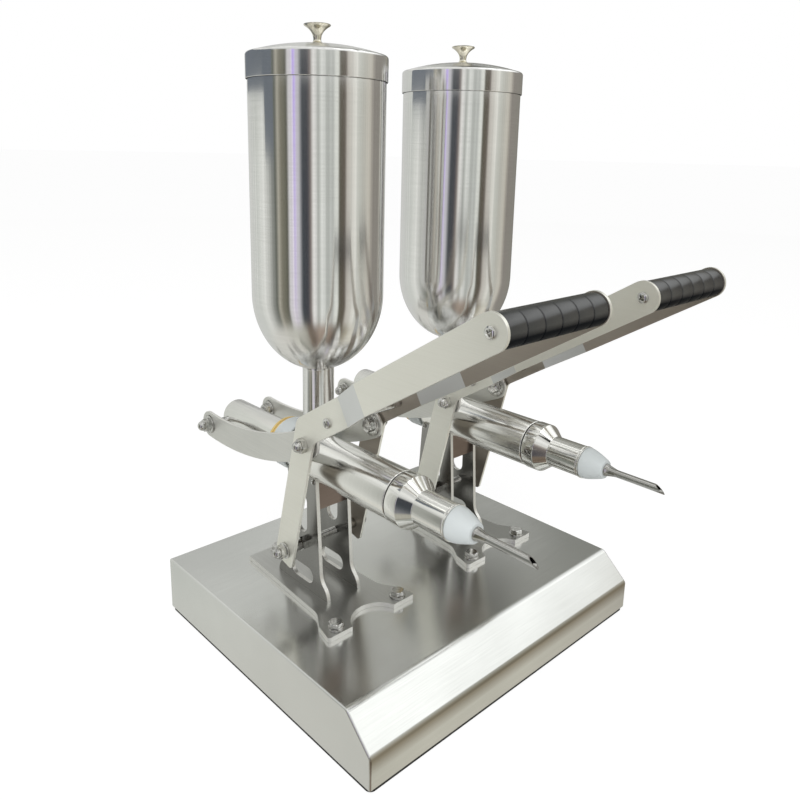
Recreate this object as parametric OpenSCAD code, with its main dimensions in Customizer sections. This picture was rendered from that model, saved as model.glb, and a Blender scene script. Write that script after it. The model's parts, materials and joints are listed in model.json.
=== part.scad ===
// Cream filling machine: two filling heads on one base, each worked by its own hand lever.
// +Z is up and the needles point along -Y. The origin lies on the table, under the middle of the base.
// Each head is drawn with its middle plane at X = 0 and then moved to its place on the left or right.

/* [Base] */
// Width of the base
base_w = 400; // [370:5:460]
// Depth of the base
base_d = 353; // [340:1:420]
// Height of the top face above the table
base_h = 64.5; // [56:0.5:90]
// Thickness of the folded sheet
base_sheet = 2; // [1.5:0.1:3]
// Height of the upright front face
front_h = 35.5; // [24:0.5:42]
// Depth of the sloping front edge
slope_d = 32; // [20:1:45]
// Width of the lip folded in along the bottom
lip_w = 16; // [12:1:25]
// Height of the rubber edge ring under the lip
trim_h = 2.5; // [2:0.5:5]
// Width of the rubber edge ring
trim_w = 9; // [6:1:12]
// How far the rubber ring stands back from the sheet's edge
trim_inset = 1; // [0.5:0.5:3]
// Corner radius of the rubber ring
trim_corner = 6; // [5:1:15]
// Width of the stiffening channel under each bracket
rib_w = 112; // [104:1:130]
// Depth of the channel's sides
rib_drop = 20; // [12:1:24]
// Sheet thickness of the channel
rib_sheet = 2.5; // [2:0.1:4]

/* [Bracket plates] */
// Distance between the middles of the two heads
head_spacing = 200; // [180:1:230]
// Distance of the stand's middle behind the middle of the base
stand_y = 25; // [15:1:35]
// Thickness of the bracket plate
plate_t = 5; // [4:0.5:8]
// Reach of the plate behind the stand's middle
plate_aft = 88; // [80:1:100]
// Reach of the plate ahead of the stand's middle
plate_fwd = 91; // [85:1:100]
// Half width of the plate at its tail
tail_half = 33; // [30:1:36]
// Half width of the plate where it starts to flare
waist_half = 40.5; // [37:0.5:44]
// Distance of that place ahead of the stand's middle
flare_at = 43; // [38:1:50]
// Radius of the flare
flare_r = 25; // [15:1:30]
// Angle that the flare turns through
flare_turn = 30; // [20:1:35]
// Half width of the plate across its two ears
ear_half = 57; // [55:1:62]
// Length of an ear's side edge
ear_side = 22; // [18:1:24]
// Narrowing of the plate along that edge
ear_taper = 4.5; // [3:0.5:6]
// Rounding of an ear's outer corner
ear_round = 3; // [1:0.5:5]
// Half width of the round notch between the ears
notch_half = 27.7; // [24:0.1:29]
// Depth of that notch
notch_deep = 20; // [15:1:24]
// Distance of the front bolts from the middle plane
ear_bolt_x = 41.3; // [39:0.1:44]
// Distance of the front bolts from the plate's front edge
ear_bolt_in = 9.5; // [9:0.5:12]
// Distance of the rear bolt from the plate's rear edge
tail_bolt_in = 10; // [9:0.5:14]

/* [Stand] */
// Clear distance between the two cheek plates
cheek_gap = 36; // [32:1:38]
// Thickness of a cheek plate
cheek_t = 4.2; // [3:0.1:5]
// Width of a cheek plate at its top
cheek_top_w = 47.4; // [44:0.2:52]
// Width of a cheek plate above its feet
cheek_low_w = 61; // [56:1:66]
// Height of the curved feet
foot_h = 28; // [22:1:32]
// Reach of each curved foot
foot_out = 13; // [8:1:16]
// Length of the low slot, front to back
low_slot_len = 38; // [30:1:42]
// Height of the low slot
low_slot_h = 17.5; // [14:0.5:19]
// Height of the low slot's middle above the bracket plate
low_slot_rise = 17.2; // [15:0.2:20]
// Width of the high slot
high_slot_w = 18; // [12:1:20]
// Height of the high slot's lower end above the bracket plate
high_slot_from = 64; // [62:1:70]
// Height of the high slot's upper end above the bracket plate
high_slot_to = 108; // [95:1:115]
// Height of the barrel's axis above the bracket plate
barrel_rise = 144.3; // [138:0.1:165]
// Depth of the cheek tops below the barrel's axis
saddle_drop = 14; // [13:0.5:16]
// Thickness of the cross plate between the cheeks
cradle_t = 3; // [2:0.5:5]
// Distance of the cross plate's front face ahead of the stand's middle
cradle_fwd = 21; // [18:0.5:22]
// Depth of the cross plate's lower edge below the barrel's axis
cradle_deep = 50; // [42:1:60]
// Depth of the small stand screws below the barrel's axis
stand_screw_drop = 17.3; // [17:0.1:18]

/* [Barrel] */
// Outer radius of the barrel
barrel_r = 25.4; // [24.6:0.1:26.2]
// Wall of the barrel
barrel_wall = 3; // [2.5:0.1:4]
// Reach of the barrel ahead of the stand's middle
barrel_fwd = 129; // [110:1:150]
// Reach of the barrel behind the stand's middle
barrel_aft = 43; // [42:1:50]

/* [Hopper] */
// Outer radius of the hopper
hopper_r = 65; // [55:1:75]
// Wall of the hopper
hopper_wall = 1.2; // [1:0.1:2]
// Height of the bowl's lowest point above the barrel's axis
neck_rise = 95.7; // [85:0.1:120]
// Outer radius of the neck tube
neck_r = 16; // [14:0.5:18]
// Wall of the neck tube
neck_wall = 1.5; // [1:0.1:2.5]
// Height of the round bowl
bowl_h = 78; // [65:1:95]
// Height of the straight wall above the bowl
hopper_h = 223; // [150:1:260]

/* [Lid] */
// Wall of the lid
lid_wall = 1.2; // [1:0.1:2]
// Reach of the lid's skirt below the hopper's rim
lid_skirt = 22; // [10:1:28]
// Rounding of the lid's top edge
lid_round = 3; // [2:0.5:8]
// Height of the lid's dome
lid_dome = 9.5; // [6:0.5:18]
// Height of the knob
knob_h = 18.5; // [14:0.5:25]
// Radius of the knob's flared top
knob_r = 12.6; // [10:0.1:18]
// Radius of the knob's stem
knob_stem_r = 4; // [3:0.5:6]

/* [Lever] */
// Height of the lever's pivot above the bracket plate
pivot_rise = 53; // [46:1:56]
// Distance of the pivot ahead of the stand's middle
pivot_fwd = 4.5; // [0:0.5:8]
// Length of the strap from the pivot to the corner
strap_len = 145.4; // [143:0.1:150]
// Forward lean of the strap
strap_lean = 14.1; // [12:0.1:15.5]
// Length of the arm from the corner to the grip
arm_len = 278.5; // [240:0.5:320]
// Slope of the arm above level
arm_rise = 31.7; // [29:0.1:34]
// Width of the lever's plates
lever_w = 29.3; // [28:0.1:32]
// Distance of the strap's flat end below the pivot
strap_end = 14.6; // [13:0.1:18]
// Rounding of that end's corners
strap_end_r = 4.5; // [2:0.5:8]
// Thickness of the lever's plates
lever_t = 3; // [2.5:0.1:4]
// Rounding of the lever's inner corner
corner_r = 10; // [6:1:14]
// Half distance over the outer faces at the straps
strap_half = 47; // [46.5:0.5:52]
// Half distance over the outer faces at the grip
grip_half = 64; // [58:1:72]
// Distance of the first fold from the corner
fold_near = 68; // [62:1:80]
// Distance of the second fold from the corner
fold_far = 117; // [105:1:130]
// Distance of the elbow bolt below the corner, along the strap
elbow_down = 14; // [10:0.5:18]
// Distance of the elbow bolt ahead of the strap's middle line
elbow_fwd = 2.4; // [0:0.2:4]
// Distance of the cross bar from the corner, along the arm
bar_at = 40; // [34:1:50]
// Distance of the cross bar below the arm's middle line
bar_drop = 2.9; // [0:0.1:4]
// Radius of the cross bar
bar_r = 4; // [3.5:0.1:5]
// Radius of the grip
grip_r = 13.7; // [12:0.1:14.5]
// Grooves around the grip
grip_grooves = 5; // [3:1:9]
// Width of a groove
groove_w = 1.2; // [0.8:0.1:2]
// Depth of a groove
groove_deep = 0.7; // [0.4:0.1:1.2]

/* [Piston] */
// Outer radius of the rod tube
rod_r = 18; // [16:0.5:19]
// Wall of the rod tube
rod_wall = 3; // [2:0.5:4]
// Distance of the tail pin behind the stand's middle
tail_aft = 152; // [145:1:170]
// Length of the rod past the tail pin
rod_past_pin = 11; // [9:0.5:16]
// Length of the piston
piston_len = 20; // [18:1:22]
// Distance of the piston's front ahead of the stand's middle
piston_fwd = 12; // [11:0.5:14]
// Width of a seal's groove in the piston
seal_w = 4; // [3:0.5:5]
// Depth of that groove
seal_deep = 3; // [2:0.5:4]
// Length of the white end cup over the barrel
gland_over = 16; // [10:1:18]
// Wall of the end cup
gland_wall = 2.1; // [1.5:0.1:3]
// Thickness of the cup's end
gland_end = 6; // [4:0.5:9]
// Length of the brass ring behind the cup
gland_ring_len = 8; // [4:0.2:9]
// Radius of the brass ring
gland_ring_r = 26; // [22:0.5:27]

/* [Links] */
// Width of a link
link_w = 30; // [28:0.5:32]
// Thickness of a link
link_t = 3; // [2.5:0.1:4]
// Bow of a link's middle line below the straight line
link_bow = 13; // [8:1:18]
// Radius of the clearance hole round the tail pin
eye_r = 7.5; // [7.5:0.1:8.5]
// Height of that hole's middle above the tail pin
eye_up = 2.8; // [2.6:0.1:3]

/* [Filling head] */
// Radius of the head's body
head_r = 26; // [25.8:0.1:27]
// Length of the head's straight body
head_body = 15; // [12:1:30]
// Length of the head's cone
head_cone = 12; // [10:1:30]
// Radius of the nose tube
nose_r = 16.5; // [14:0.5:17]
// Length of the nose tube
nose_len = 39; // [25:1:50]
// Wall of the nose tube
nose_wall = 3; // [2.5:0.1:3.5]
// Length of the head's spigot in the barrel
spigot_len = 14; // [8:1:20]
// Thickness of the black seam ring
seam_t = 1.2; // [0.8:0.1:2]
// Radius of the nozzle at its back
nozzle_r = 16.5; // [14:0.1:17]
// Radius of the nozzle at its tip
nozzle_tip_r = 9.5; // [8:0.1:9.5]
// Length of the nozzle
nozzle_len = 23.5; // [20:0.5:35]
// Straight length at the nozzle's back
nozzle_rim = 2; // [1:0.5:5]
// Radius of the needle's base
needle_base_r = 6.5; // [6.3:0.1:7]
// Length of the needle's cone
needle_cone = 10; // [5:0.5:14]
// Radius of the needle tube
needle_r = 3.75; // [3.5:0.05:4.5]
// Radius of the needle's bore
needle_bore_r = 2.75; // [2.4:0.05:3]
// Length of the needle ahead of the nozzle
needle_len = 65; // [40:1:80]
// Length of the slanted cut at the needle's tip
needle_cut = 11; // [6:1:16]
// Turn of that cut to one side, in degrees
needle_turn = 15; // [0:5:45]

/* [Fasteners] */
// Radius of the bolts and pins
bolt_r = 4; // [3.8:0.1:4.2]
// Width across flats of the nuts and bolt heads
nut_flats = 13; // [12.5:0.1:14]
// Height of a bolt head
head_h = 5.3; // [4.5:0.1:6.5]
// Height of a nut
nut_h = 6.5; // [5:0.1:7]
// Radius of the washers
washer_r = 8.5; // [8:0.1:9]
// Radius of the wide washers
wide_washer_r = 12; // [10.5:0.1:13]
// Thickness of the washers
washer_t = 1.6; // [1.2:0.1:2]
// Radius of the lever screws' heads
pan_r = 5; // [4.5:0.1:5.5]
// Height of the lever screws' heads
pan_h = 3; // [2.4:0.1:3.5]
// Radius of the lever screws' shanks
pan_shank_r = 2.5; // [2:0.1:2.7]
// Length of the lever screws' shanks
pan_shank_len = 16; // [12:1:22]
// Radius of the small stand screws' heads
small_pan_r = 3; // [2.6:0.1:3.2]

/* [Fits] */
// Radial clearance of pins, shafts and the piston
run_fit = 0.05; // [0.02:0.01:0.09]
// Air between pieces that are screwed or pressed together
seat = 0.05; // [0.02:0.01:0.1]
// Air between faces that turn past each other
side_gap = 0.25; // [0.2:0.05:0.4]
// Air between the lid and the hopper
lid_gap = 0.3; // [0.2:0.05:0.6]
// Clearance of the bolts in the sheets
bolt_gap = 0.5; // [0.3:0.1:0.8]

/* [Hidden] */
$fn = 64;
over = 1;

// Small sizes that no control moves
cap_reach = nut_h + 2;
bolt_end_out = 3;
rib_past_bolt = 20;
stand_screw_in = 3.5;
stand_screw_bite = 1.8;
stand_screw_r = small_pan_r / 2;
nozzle_spigot_len = 10;
nozzle_chamber_wall = 4;
needle_seat_len = 14;
needle_foot_len = 4;
needle_foot_gap = 0.5;
needle_collar = 1.5;
nose_bead = 2.2;
nose_groove = 0.6;
piston_plug_len = 15;
rod_socket_len = 16;
rod_solid_from = 24;
rod_edge = 1.5;
rod_step = 2;
rim_flat = 0.2;
face_share = 0.47;
cap_share = 0.46;
seam_in = 0.4;
head_edge = 0.8;
needle_lead = 0.5;
seal_at = 0.12;
ring_groove = 0.8;
ring_edge = 0.5;

// Heights and places that follow from the driving sizes
plate_top = base_h + plate_t;
barrel_z = plate_top + barrel_rise;
bore_r = barrel_r - barrel_wall;
barrel_front = stand_y - barrel_fwd;
barrel_back = stand_y + barrel_aft;
cheek_in = cheek_gap / 2;
cheek_out = cheek_in + cheek_t;
pin_hole_r = bolt_r + run_fit;

// The lever: pivot, corner, grip and elbow in the Y-Z plane
pivot = [stand_y - pivot_fwd, plate_top + pivot_rise];
strap_up = [-sin(strap_lean), cos(strap_lean)];
strap_fwd = [-cos(strap_lean), -sin(strap_lean)];
arm_out = [-cos(arm_rise), sin(arm_rise)];
arm_down = [-sin(arm_rise), -cos(arm_rise)];
corner = pivot + strap_len * strap_up;
grip_at = corner + arm_len * arm_out;
elbow = corner - elbow_down * strap_up + elbow_fwd * strap_fwd;
bar = corner + bar_at * arm_out + bar_drop * arm_down;
tail = [stand_y + tail_aft, barrel_z];

// The plates that lie beside each other at the elbow, from the outside in
strap_in = strap_half - lever_t;
link_out = strap_in - seat - washer_t - side_gap;
link_in = link_out - link_t;
grip_in = grip_half - lever_t;

// The hopper and lid, from the bowl up
bowl_low = barrel_z + neck_rise;
hopper_low = bowl_low + bowl_h;
hopper_rim = hopper_low + hopper_h;
rim_edge = hopper_wall - rim_flat;
lid_in_r = hopper_r + lid_gap;
lid_r = lid_in_r + lid_wall;
lid_low = hopper_rim - lid_skirt;
lid_seat = hopper_rim + lid_gap;
lid_edge = lid_seat + lid_wall;
lid_top = lid_edge + lid_dome;

// The filling head, measured forward from its seam with the barrel
head_seam = barrel_front - seam_t;
head_len = head_body + head_cone + nose_len;
nose_bore_r = nose_r - nose_wall;
spigot_r = bore_r - seat;
nose_end = head_seam - head_len;
needle_seat_r = needle_base_r - 0.5;
chamber_r = nose_bore_r - seat - nozzle_chamber_wall;

// The piston and its rod
piston_front = stand_y - piston_fwd;
piston_back = piston_front + piston_len;
rod_bore_r = rod_r - rod_wall;
rod_end = tail[0] + rod_past_pin;
gland_back = barrel_back + seat + gland_end;
gland_r = barrel_r + seat + gland_wall;

// Points along an arc, from one angle to another
function arc(centre, radius, from, to, steps = 8) =
    [for (i = [0:steps]) let (a = from + (to - from) * i / steps)
        centre + radius * [cos(a), sin(a)]];

// Outline of a rectangle with round corners, about its middle
function rounded_rect(width, depth, corner) = let (x = width / 2 - corner, y = depth / 2 - corner)
    concat(arc([x, y], corner, 0, 90), arc([-x, y], corner, 90, 180),
        arc([-x, -y], corner, 180, 270), arc([x, -y], corner, 270, 360));

// The same points on the other side of the vertical axis, in the opposite order
function mirrored(points) = [for (i = [len(points) - 1:-1:0]) [-points[i][0], points[i][1]]];

module at_left() translate([-head_spacing / 2, 0, 0]) children();
module at_right() translate([head_spacing / 2, 0, 0]) children();

// A shape and its twin on the other side of the head's middle plane
module both_sides() {
    children();
    mirror([1, 0, 0]) children();
}

// Turns Z to point outwards along X, at a place in the Y-Z plane
module outward(x, place) translate([x, place[0], place[1]]) rotate([0, 90, 0]) children();

// Turns Z to point forward or backward along the barrel's axis
module forward(y) translate([0, y, barrel_z]) rotate([90, 0, 0]) children();
module backward(y) translate([0, y, barrel_z]) rotate([-90, 0, 0]) children();

// A flat plate drawn in the Y-Z plane, reaching from one X to another
module plate_x(from, to) translate([from, 0, 0]) rotate([90, 0, 90]) linear_extrude(to - from) children();

// A flat bar with round ends between two points
module obround(a, b, r) {
    d = b - a;
    translate(a) circle(r);
    translate(b) circle(r);
    translate(a) rotate(atan2(d[1], d[0])) translate([0, -r]) square([norm(d), 2 * r]);
}

// A ring or tube standing on Z
module ring(outer, inner, h) difference() {
    cylinder(r = outer, h = h);
    translate([0, 0, -over]) cylinder(r = inner, h = h + 2 * over);
}

// A hexagon with its upper corners turned away
module hexagon(h) {
    reach = nut_flats / sqrt(3);
    face = nut_flats * face_share;
    intersection() {
        cylinder(r = reach, h = h, $fn = 6);
        rotate_extrude()
            polygon([[0, 0], [reach + over, 0], [reach + over, h - (reach + over - face) * tan(30)],
                [face, h], [0, h]]);
    }
}

module nut() difference() {
    hexagon(nut_h);
    translate([0, 0, -over]) cylinder(r = pin_hole_r, h = nut_h + 2 * over);
}

module cap_nut(inside) difference() {
    union() {
        hexagon(nut_h);
        translate([0, 0, nut_h]) sphere(r = nut_flats * cap_share);
    }
    translate([0, 0, -over]) cylinder(r = pin_hole_r, h = inside + over);
}

module washer(outer) ring(outer, pin_hole_r, washer_t);

// A screw with a domed head and a crossed recess, its head standing on Z
module pan_screw(head, high, shank, len) {
    difference() {
        rotate_extrude() polygon(concat([[0, 0], [head, 0], [head, high * 0.3]],
            [for (a = [15:15:90]) [head * cos(a), high * (0.3 + 0.7 * sin(a))]]));
        for (turn = [0, 90]) rotate(turn)
            translate([-head * 0.55, -head * 0.1, high * 0.45]) cube([head * 1.1, head * 0.2, high]);
    }
    translate([0, 0, -len]) cylinder(r = shank, h = len + over / 10);
}

// BASE

// Outline of the folded sheet's side, drawn in by a distance
function base_side(inset) = let (slope = atan2(base_h - front_h, slope_d), back = base_d / 2)
    [[inset - back, trim_h + inset],
     [inset - back, front_h - inset * (1 - sin(slope)) / cos(slope)],
     [slope_d - back + inset * (1 - cos(slope)) / sin(slope), base_h - inset],
     [back - inset, base_h - inset], [back - inset, trim_h + inset]];

// Places of the bolts through one bracket plate
tail_bolt = [0, stand_y + plate_aft - tail_bolt_in];
ear_bolt_y = stand_y - plate_fwd + ear_bolt_in;
bracket_bolt_places = [[-ear_bolt_x, ear_bolt_y], [ear_bolt_x, ear_bolt_y], tail_bolt];

module bracket_bolt_holes(low, high)
    for (p = bracket_bolt_places) translate([p[0], p[1], low])
        cylinder(r = bolt_r + bolt_gap, h = high - low);

module base_shell() color("silver") difference() {
    plate_x(-base_w / 2, base_w / 2) polygon(base_side(0));
    plate_x(base_sheet - base_w / 2, base_w / 2 - base_sheet) polygon(base_side(base_sheet));
    translate([lip_w - base_w / 2, lip_w - base_d / 2, 0])
        cube([base_w - 2 * lip_w, base_d - 2 * lip_w, trim_h + base_sheet + over]);
    at_left() bracket_bolt_holes(base_h - base_sheet - over, base_h + over);
    at_right() bracket_bolt_holes(base_h - base_sheet - over, base_h + over);
}

rib_top = base_h - base_sheet - seat;
rib_front = ear_bolt_y - rib_past_bolt;
rib_back = tail_bolt[1] + rib_past_bolt;

module rib() difference() {
    translate([-rib_w / 2, rib_front, rib_top - rib_drop]) cube([rib_w, rib_back - rib_front, rib_drop]);
    translate([rib_sheet - rib_w / 2, rib_front - over, rib_top - rib_drop - over])
        cube([rib_w - 2 * rib_sheet, rib_back - rib_front + 2 * over, rib_drop - rib_sheet + over]);
    bracket_bolt_holes(rib_top - rib_sheet - over, rib_top + over);
}

module base_ribs() color("darkgray") {
    at_left() rib();
    at_right() rib();
}

module base_trim() color("black") linear_extrude(trim_h - seat) difference() {
    polygon(rounded_rect(base_w - 2 * trim_inset, base_d - 2 * trim_inset, trim_corner));
    polygon(rounded_rect(base_w - 2 * (trim_inset + trim_w), base_d - 2 * (trim_inset + trim_w),
        trim_corner - trim_w / 2));
}

// BRACKET AND STAND

module bracket_plate() color("silver") {
    front = stand_y - plate_fwd;
    flare_y = stand_y - flare_at;
    right_side = concat(
        [[tail_half, stand_y + plate_aft]],
        arc([waist_half + flare_r, flare_y], flare_r, 180, 180 + flare_turn),
        [[ear_half - ear_taper, front + ear_side]],
        arc([ear_half - ear_round, front + ear_round], ear_round, 0, -90, 4));
    notch_r = (notch_half * notch_half + notch_deep * notch_deep) / (2 * notch_deep);
    difference() {
        translate([0, 0, base_h + seat]) linear_extrude(plate_t - seat)
            polygon(concat(right_side, mirrored(right_side)));
        translate([0, front + notch_deep - notch_r, base_h]) cylinder(r = notch_r, h = plate_t + over);
        bracket_bolt_holes(base_h, plate_top + over);
    }
}

module bracket_bolts() color("gainsboro") for (p = bracket_bolt_places) translate([p[0], p[1], 0]) {
    under_rib = rib_top - rib_sheet - seat;
    tip = under_rib - nut_h - bolt_end_out;
    translate([0, 0, plate_top + seat]) washer(washer_r);
    translate([0, 0, plate_top + 2 * seat + washer_t]) hexagon(head_h);
    translate([0, 0, tip]) cylinder(r = bolt_r, h = plate_top + washer_t + head_h / 2 - tip);
    translate([0, 0, under_rib]) mirror([0, 0, 1]) nut();
}

// Half of a cheek plate's outline, from its foot up, measured from the stand's middle
function cheek_side() = let (turn = 2 * atan(foot_out / foot_h), r = foot_h / (2 * sin(turn)))
    concat(arc([cheek_low_w / 2 + foot_out - r, plate_top + seat], r, 0, turn),
        arc([cheek_low_w / 2 + r, plate_top + seat + foot_h], r, 180 + turn, 180),
        [[cheek_top_w / 2, barrel_z - saddle_drop]]);

module cheek_outline() difference() {
    translate([stand_y, 0]) polygon(concat(cheek_side(), mirrored(cheek_side())));
    low_slot_r = low_slot_h / 2;
    low_slot_x = low_slot_len / 2 - low_slot_r;
    high_slot_r = high_slot_w / 2;
    translate([stand_y, plate_top + low_slot_rise]) obround([-low_slot_x, 0], [low_slot_x, 0], low_slot_r);
    translate([stand_y, plate_top])
        obround([0, high_slot_from + high_slot_r], [0, high_slot_to - high_slot_r], high_slot_r);
    translate(pivot) circle(pin_hole_r);
}

// Places of the small screws that hold the cheeks to the barrel
stand_screw_places = [for (side = [-1, 1])
    [stand_y + side * (cheek_top_w / 2 - stand_screw_in), barrel_z - stand_screw_drop]];
stand_screw_len = cheek_t + stand_screw_bite;

module stand_screw_holes() for (p = stand_screw_places)
    outward(cheek_out - stand_screw_len - seat, p)
        cylinder(r = stand_screw_r + seat, h = stand_screw_len + over);

module cheek_plates() color("gray") both_sides() difference() {
    plate_x(cheek_in, cheek_out) cheek_outline();
    backward(stand_y - cheek_low_w) cylinder(r = barrel_r + seat, h = 2 * cheek_low_w);
    stand_screw_holes();
}

module cradle_plate() color("gray") difference() {
    translate([seat - cheek_in, stand_y - cradle_fwd, barrel_z - cradle_deep])
        cube([cheek_gap - 2 * seat, cradle_t, cradle_deep]);
    backward(stand_y - cheek_low_w) cylinder(r = barrel_r + seat, h = 2 * cheek_low_w);
    both_sides() stand_screw_holes();
}

module stand_screws() color("gainsboro") both_sides() for (p = stand_screw_places)
    outward(cheek_out + seat, p) pan_screw(small_pan_r, 2, stand_screw_r, stand_screw_len);

// BARREL, HOPPER AND LID

module barrel() color("silver") difference() {
    backward(barrel_front) ring(barrel_r, bore_r, barrel_back - barrel_front);
    translate([0, stand_y, barrel_z]) cylinder(r = neck_r - neck_wall, h = 2 * barrel_r);
    both_sides() stand_screw_holes();
}

// Inner wall of the neck and the hopper
neck_in_r = neck_r - neck_wall;
hopper_in_r = hopper_r - hopper_wall;
bowl_in_low = bowl_low + hopper_wall;

// Height at which a wall of the bowl meets the neck
function bowl_mouth(r, neck, low) = hopper_low - (hopper_low - low) * cos(asin(neck / r));

module neck() color("silver") difference() {
    translate([0, stand_y, 0]) rotate_extrude() polygon([
        [neck_r, barrel_z], [neck_r, bowl_mouth(hopper_r, neck_r, bowl_low) - seat],
        [neck_in_r, bowl_mouth(hopper_in_r, neck_in_r, bowl_in_low) - seat], [neck_in_r, barrel_z]]);
    backward(stand_y - 2 * neck_r) cylinder(r = barrel_r + seat, h = 4 * neck_r);
}

// One wall of the bowl, from the neck up to where it stands upright
function bowl_line(r, neck, low) =
    [for (a = [asin(neck / r):(90 - asin(neck / r)) / 20:90.01])
        [r * sin(a), hopper_low - (hopper_low - low) * cos(a)]];

module hopper() color("silver") translate([0, stand_y, 0]) rotate_extrude() {
    inside = bowl_line(hopper_in_r, neck_in_r, bowl_in_low);
    polygon(concat(
        bowl_line(hopper_r, neck_r, bowl_low),
        [[hopper_r, hopper_rim - rim_edge], [hopper_r - rim_edge, hopper_rim], [hopper_in_r, hopper_rim]],
        [for (i = [len(inside) - 1:-1:0]) inside[i]]));
}

// Upper face of the lid: a rounded edge, then a shallow dome that ends on the axis
function lid_face(r, edge, top, corner) = let (
        half = r - corner, high = top - edge, dome_r = (half * half + high * high) / (2 * high),
        spread = asin(half / dome_r))
    concat(arc([half, edge - corner], corner, 0, 90 - spread, 5),
        [for (i = [7:-1:0]) [dome_r * sin(spread * i / 8), top - dome_r * (1 - cos(spread * i / 8))]]);

module lid() color("silver") {
    outside = lid_face(lid_r, lid_edge, lid_top, lid_round);
    inside = lid_face(lid_in_r, lid_edge - lid_wall, lid_top - lid_wall, lid_round - lid_wall);
    difference() {
        translate([0, stand_y, 0]) rotate_extrude()
            polygon(concat([[0, lid_low], [lid_r, lid_low]], outside));
        translate([0, stand_y, 0]) rotate_extrude()
            polygon(concat([[0, lid_low - over], [lid_in_r, lid_low - over]], inside));
        translate([0, stand_y, lid_top - 2 * lid_wall])
            cylinder(r = knob_stem_r / 2 + seat, h = 3 * lid_wall);
    }
}

// A turned foot and stem, then a flare like a trumpet's that ends in a shallow dome
module lid_knob() color("gainsboro") translate([0, stand_y, lid_top + seat]) rotate_extrude() {
    stem_high = knob_h * 0.3;
    flare_high = knob_h * 0.5;
    foot_r = knob_stem_r * 1.35;
    waist_r = knob_stem_r * 0.95;
    polygon(concat(
        [[0, -3 * lid_wall], [knob_stem_r / 2, -3 * lid_wall], [knob_stem_r / 2, 0]],
        [[foot_r, 0], [(foot_r + waist_r) / 2, 1], [waist_r, 2], [waist_r, stem_high]],
        [for (i = [1:6])
            [knob_stem_r + (knob_r - knob_stem_r) * pow(i / 6, 1.25), stem_high + flare_high * i / 6]],
        [[knob_r, knob_h * 0.86], [knob_r * 0.86, knob_h * 0.93]],
        [[knob_r * 0.5, knob_h * 0.985], [0, knob_h]]));
}

// FILLING HEAD

module seam_ring() color("black") forward(barrel_front - seat)
    ring(barrel_r - seam_in, spigot_r + seat, seam_t - 2 * seat);

module head() color("silver") forward(head_seam) rotate_extrude() {
    cone_end = head_body + head_cone;
    bead_from = head_len - nose_bead;
    groove_r = nose_r - nose_groove;
    bead_r = nose_r + nose_groove;
    polygon([
        [spigot_r, -spigot_len], [spigot_r, 0], [head_r - head_edge, 0], [head_r, head_edge],
        [head_r, head_body], [nose_r, cone_end], [nose_r, bead_from - 2 * nose_groove],
        [groove_r, bead_from - nose_groove], [groove_r, bead_from], [bead_r, bead_from], [bead_r, head_len],
        [nose_bore_r, head_len], [nose_bore_r, cone_end],
        [spigot_r - nose_wall, head_body - nose_wall / 2], [spigot_r - nose_wall, -spigot_len]]);
}

// The nozzle's curve from its rim to its tip, then back through its bore
module nozzle() color("white") forward(nose_end - seat) rotate_extrude() {
    curve = [for (t = [0:0.125:1])
        [nozzle_r - (nozzle_r - nozzle_tip_r) * pow(t, 1.3), nozzle_rim + (nozzle_len - nozzle_rim) * t]];
    spigot = nose_bore_r - seat;
    mouth_r = needle_seat_r + seat;
    chamber_end = nozzle_len - needle_seat_len;
    polygon(concat(
        [[chamber_r, -nozzle_spigot_len], [spigot, -nozzle_spigot_len], [spigot, 0], [nozzle_r, 0]], curve,
        [[mouth_r, nozzle_len], [mouth_r, chamber_end], [chamber_r, chamber_end]]));
}

module needle() color("gainsboro") {
    tip = nozzle_len + needle_len;
    foot_r = chamber_r - needle_foot_gap;
    foot_from = nozzle_len - needle_seat_len - needle_foot_len;
    foot_to = nozzle_len - needle_seat_len - seat;
    cone_from = nozzle_len + needle_collar;
    forward(nose_end - seat) difference() {
        rotate_extrude() polygon([
            [needle_bore_r, foot_from], [foot_r, foot_from], [foot_r, foot_to], [needle_seat_r, foot_to],
            [needle_seat_r, nozzle_len + seat], [needle_base_r, nozzle_len + seat],
            [needle_base_r, cone_from], [needle_r + needle_lead / 2, cone_from + needle_cone],
            [needle_r, cone_from + needle_cone + needle_lead],
            [needle_r, tip], [needle_bore_r, tip]]);
        rotate([0, 0, -needle_turn]) translate([0, -needle_r, tip])
            rotate([-atan(needle_cut / (2 * needle_r)), 0, 0])
            translate([-2 * needle_r, -over, 0]) cube([4 * needle_r, 3 * needle_cut, 2 * needle_cut]);
    }
}

// PISTON, ROD AND GLAND

seal_places = [piston_len * seal_at, piston_len * (1 - seal_at) - seal_w];

module piston() color("whitesmoke") backward(piston_front) difference() {
    union() {
        cylinder(r = bore_r - run_fit, h = piston_len);
        cylinder(r = rod_bore_r - seat, h = piston_len + piston_plug_len);
    }
    for (z = seal_places) translate([0, 0, z]) ring(bore_r + over, bore_r - seal_deep, seal_w);
}

module piston_seals() color("black") for (z = seal_places)
    backward(piston_front + z + seat)
        ring(bore_r - run_fit / 2, bore_r - seal_deep + seat, seal_w - 2 * seat);

module piston_rod() color("lightgray") difference() {
    backward(piston_back + seat) cylinder(r = rod_r, h = rod_end - piston_back - seat);
    backward(piston_back + seat - over) cylinder(r = rod_bore_r, h = rod_socket_len + over);
    backward(piston_back + rod_solid_from)
        cylinder(r = rod_bore_r - rod_step, h = tail[0] - piston_back - 2 * rod_solid_from);
    outward(-2 * rod_r, tail) cylinder(r = pin_hole_r, h = 4 * rod_r);
    backward(rod_end - rod_edge) difference() {
        cylinder(r = rod_r + over, h = rod_edge + over);
        cylinder(r1 = rod_r, r2 = rod_r - rod_edge, h = rod_edge);
    }
}

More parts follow.
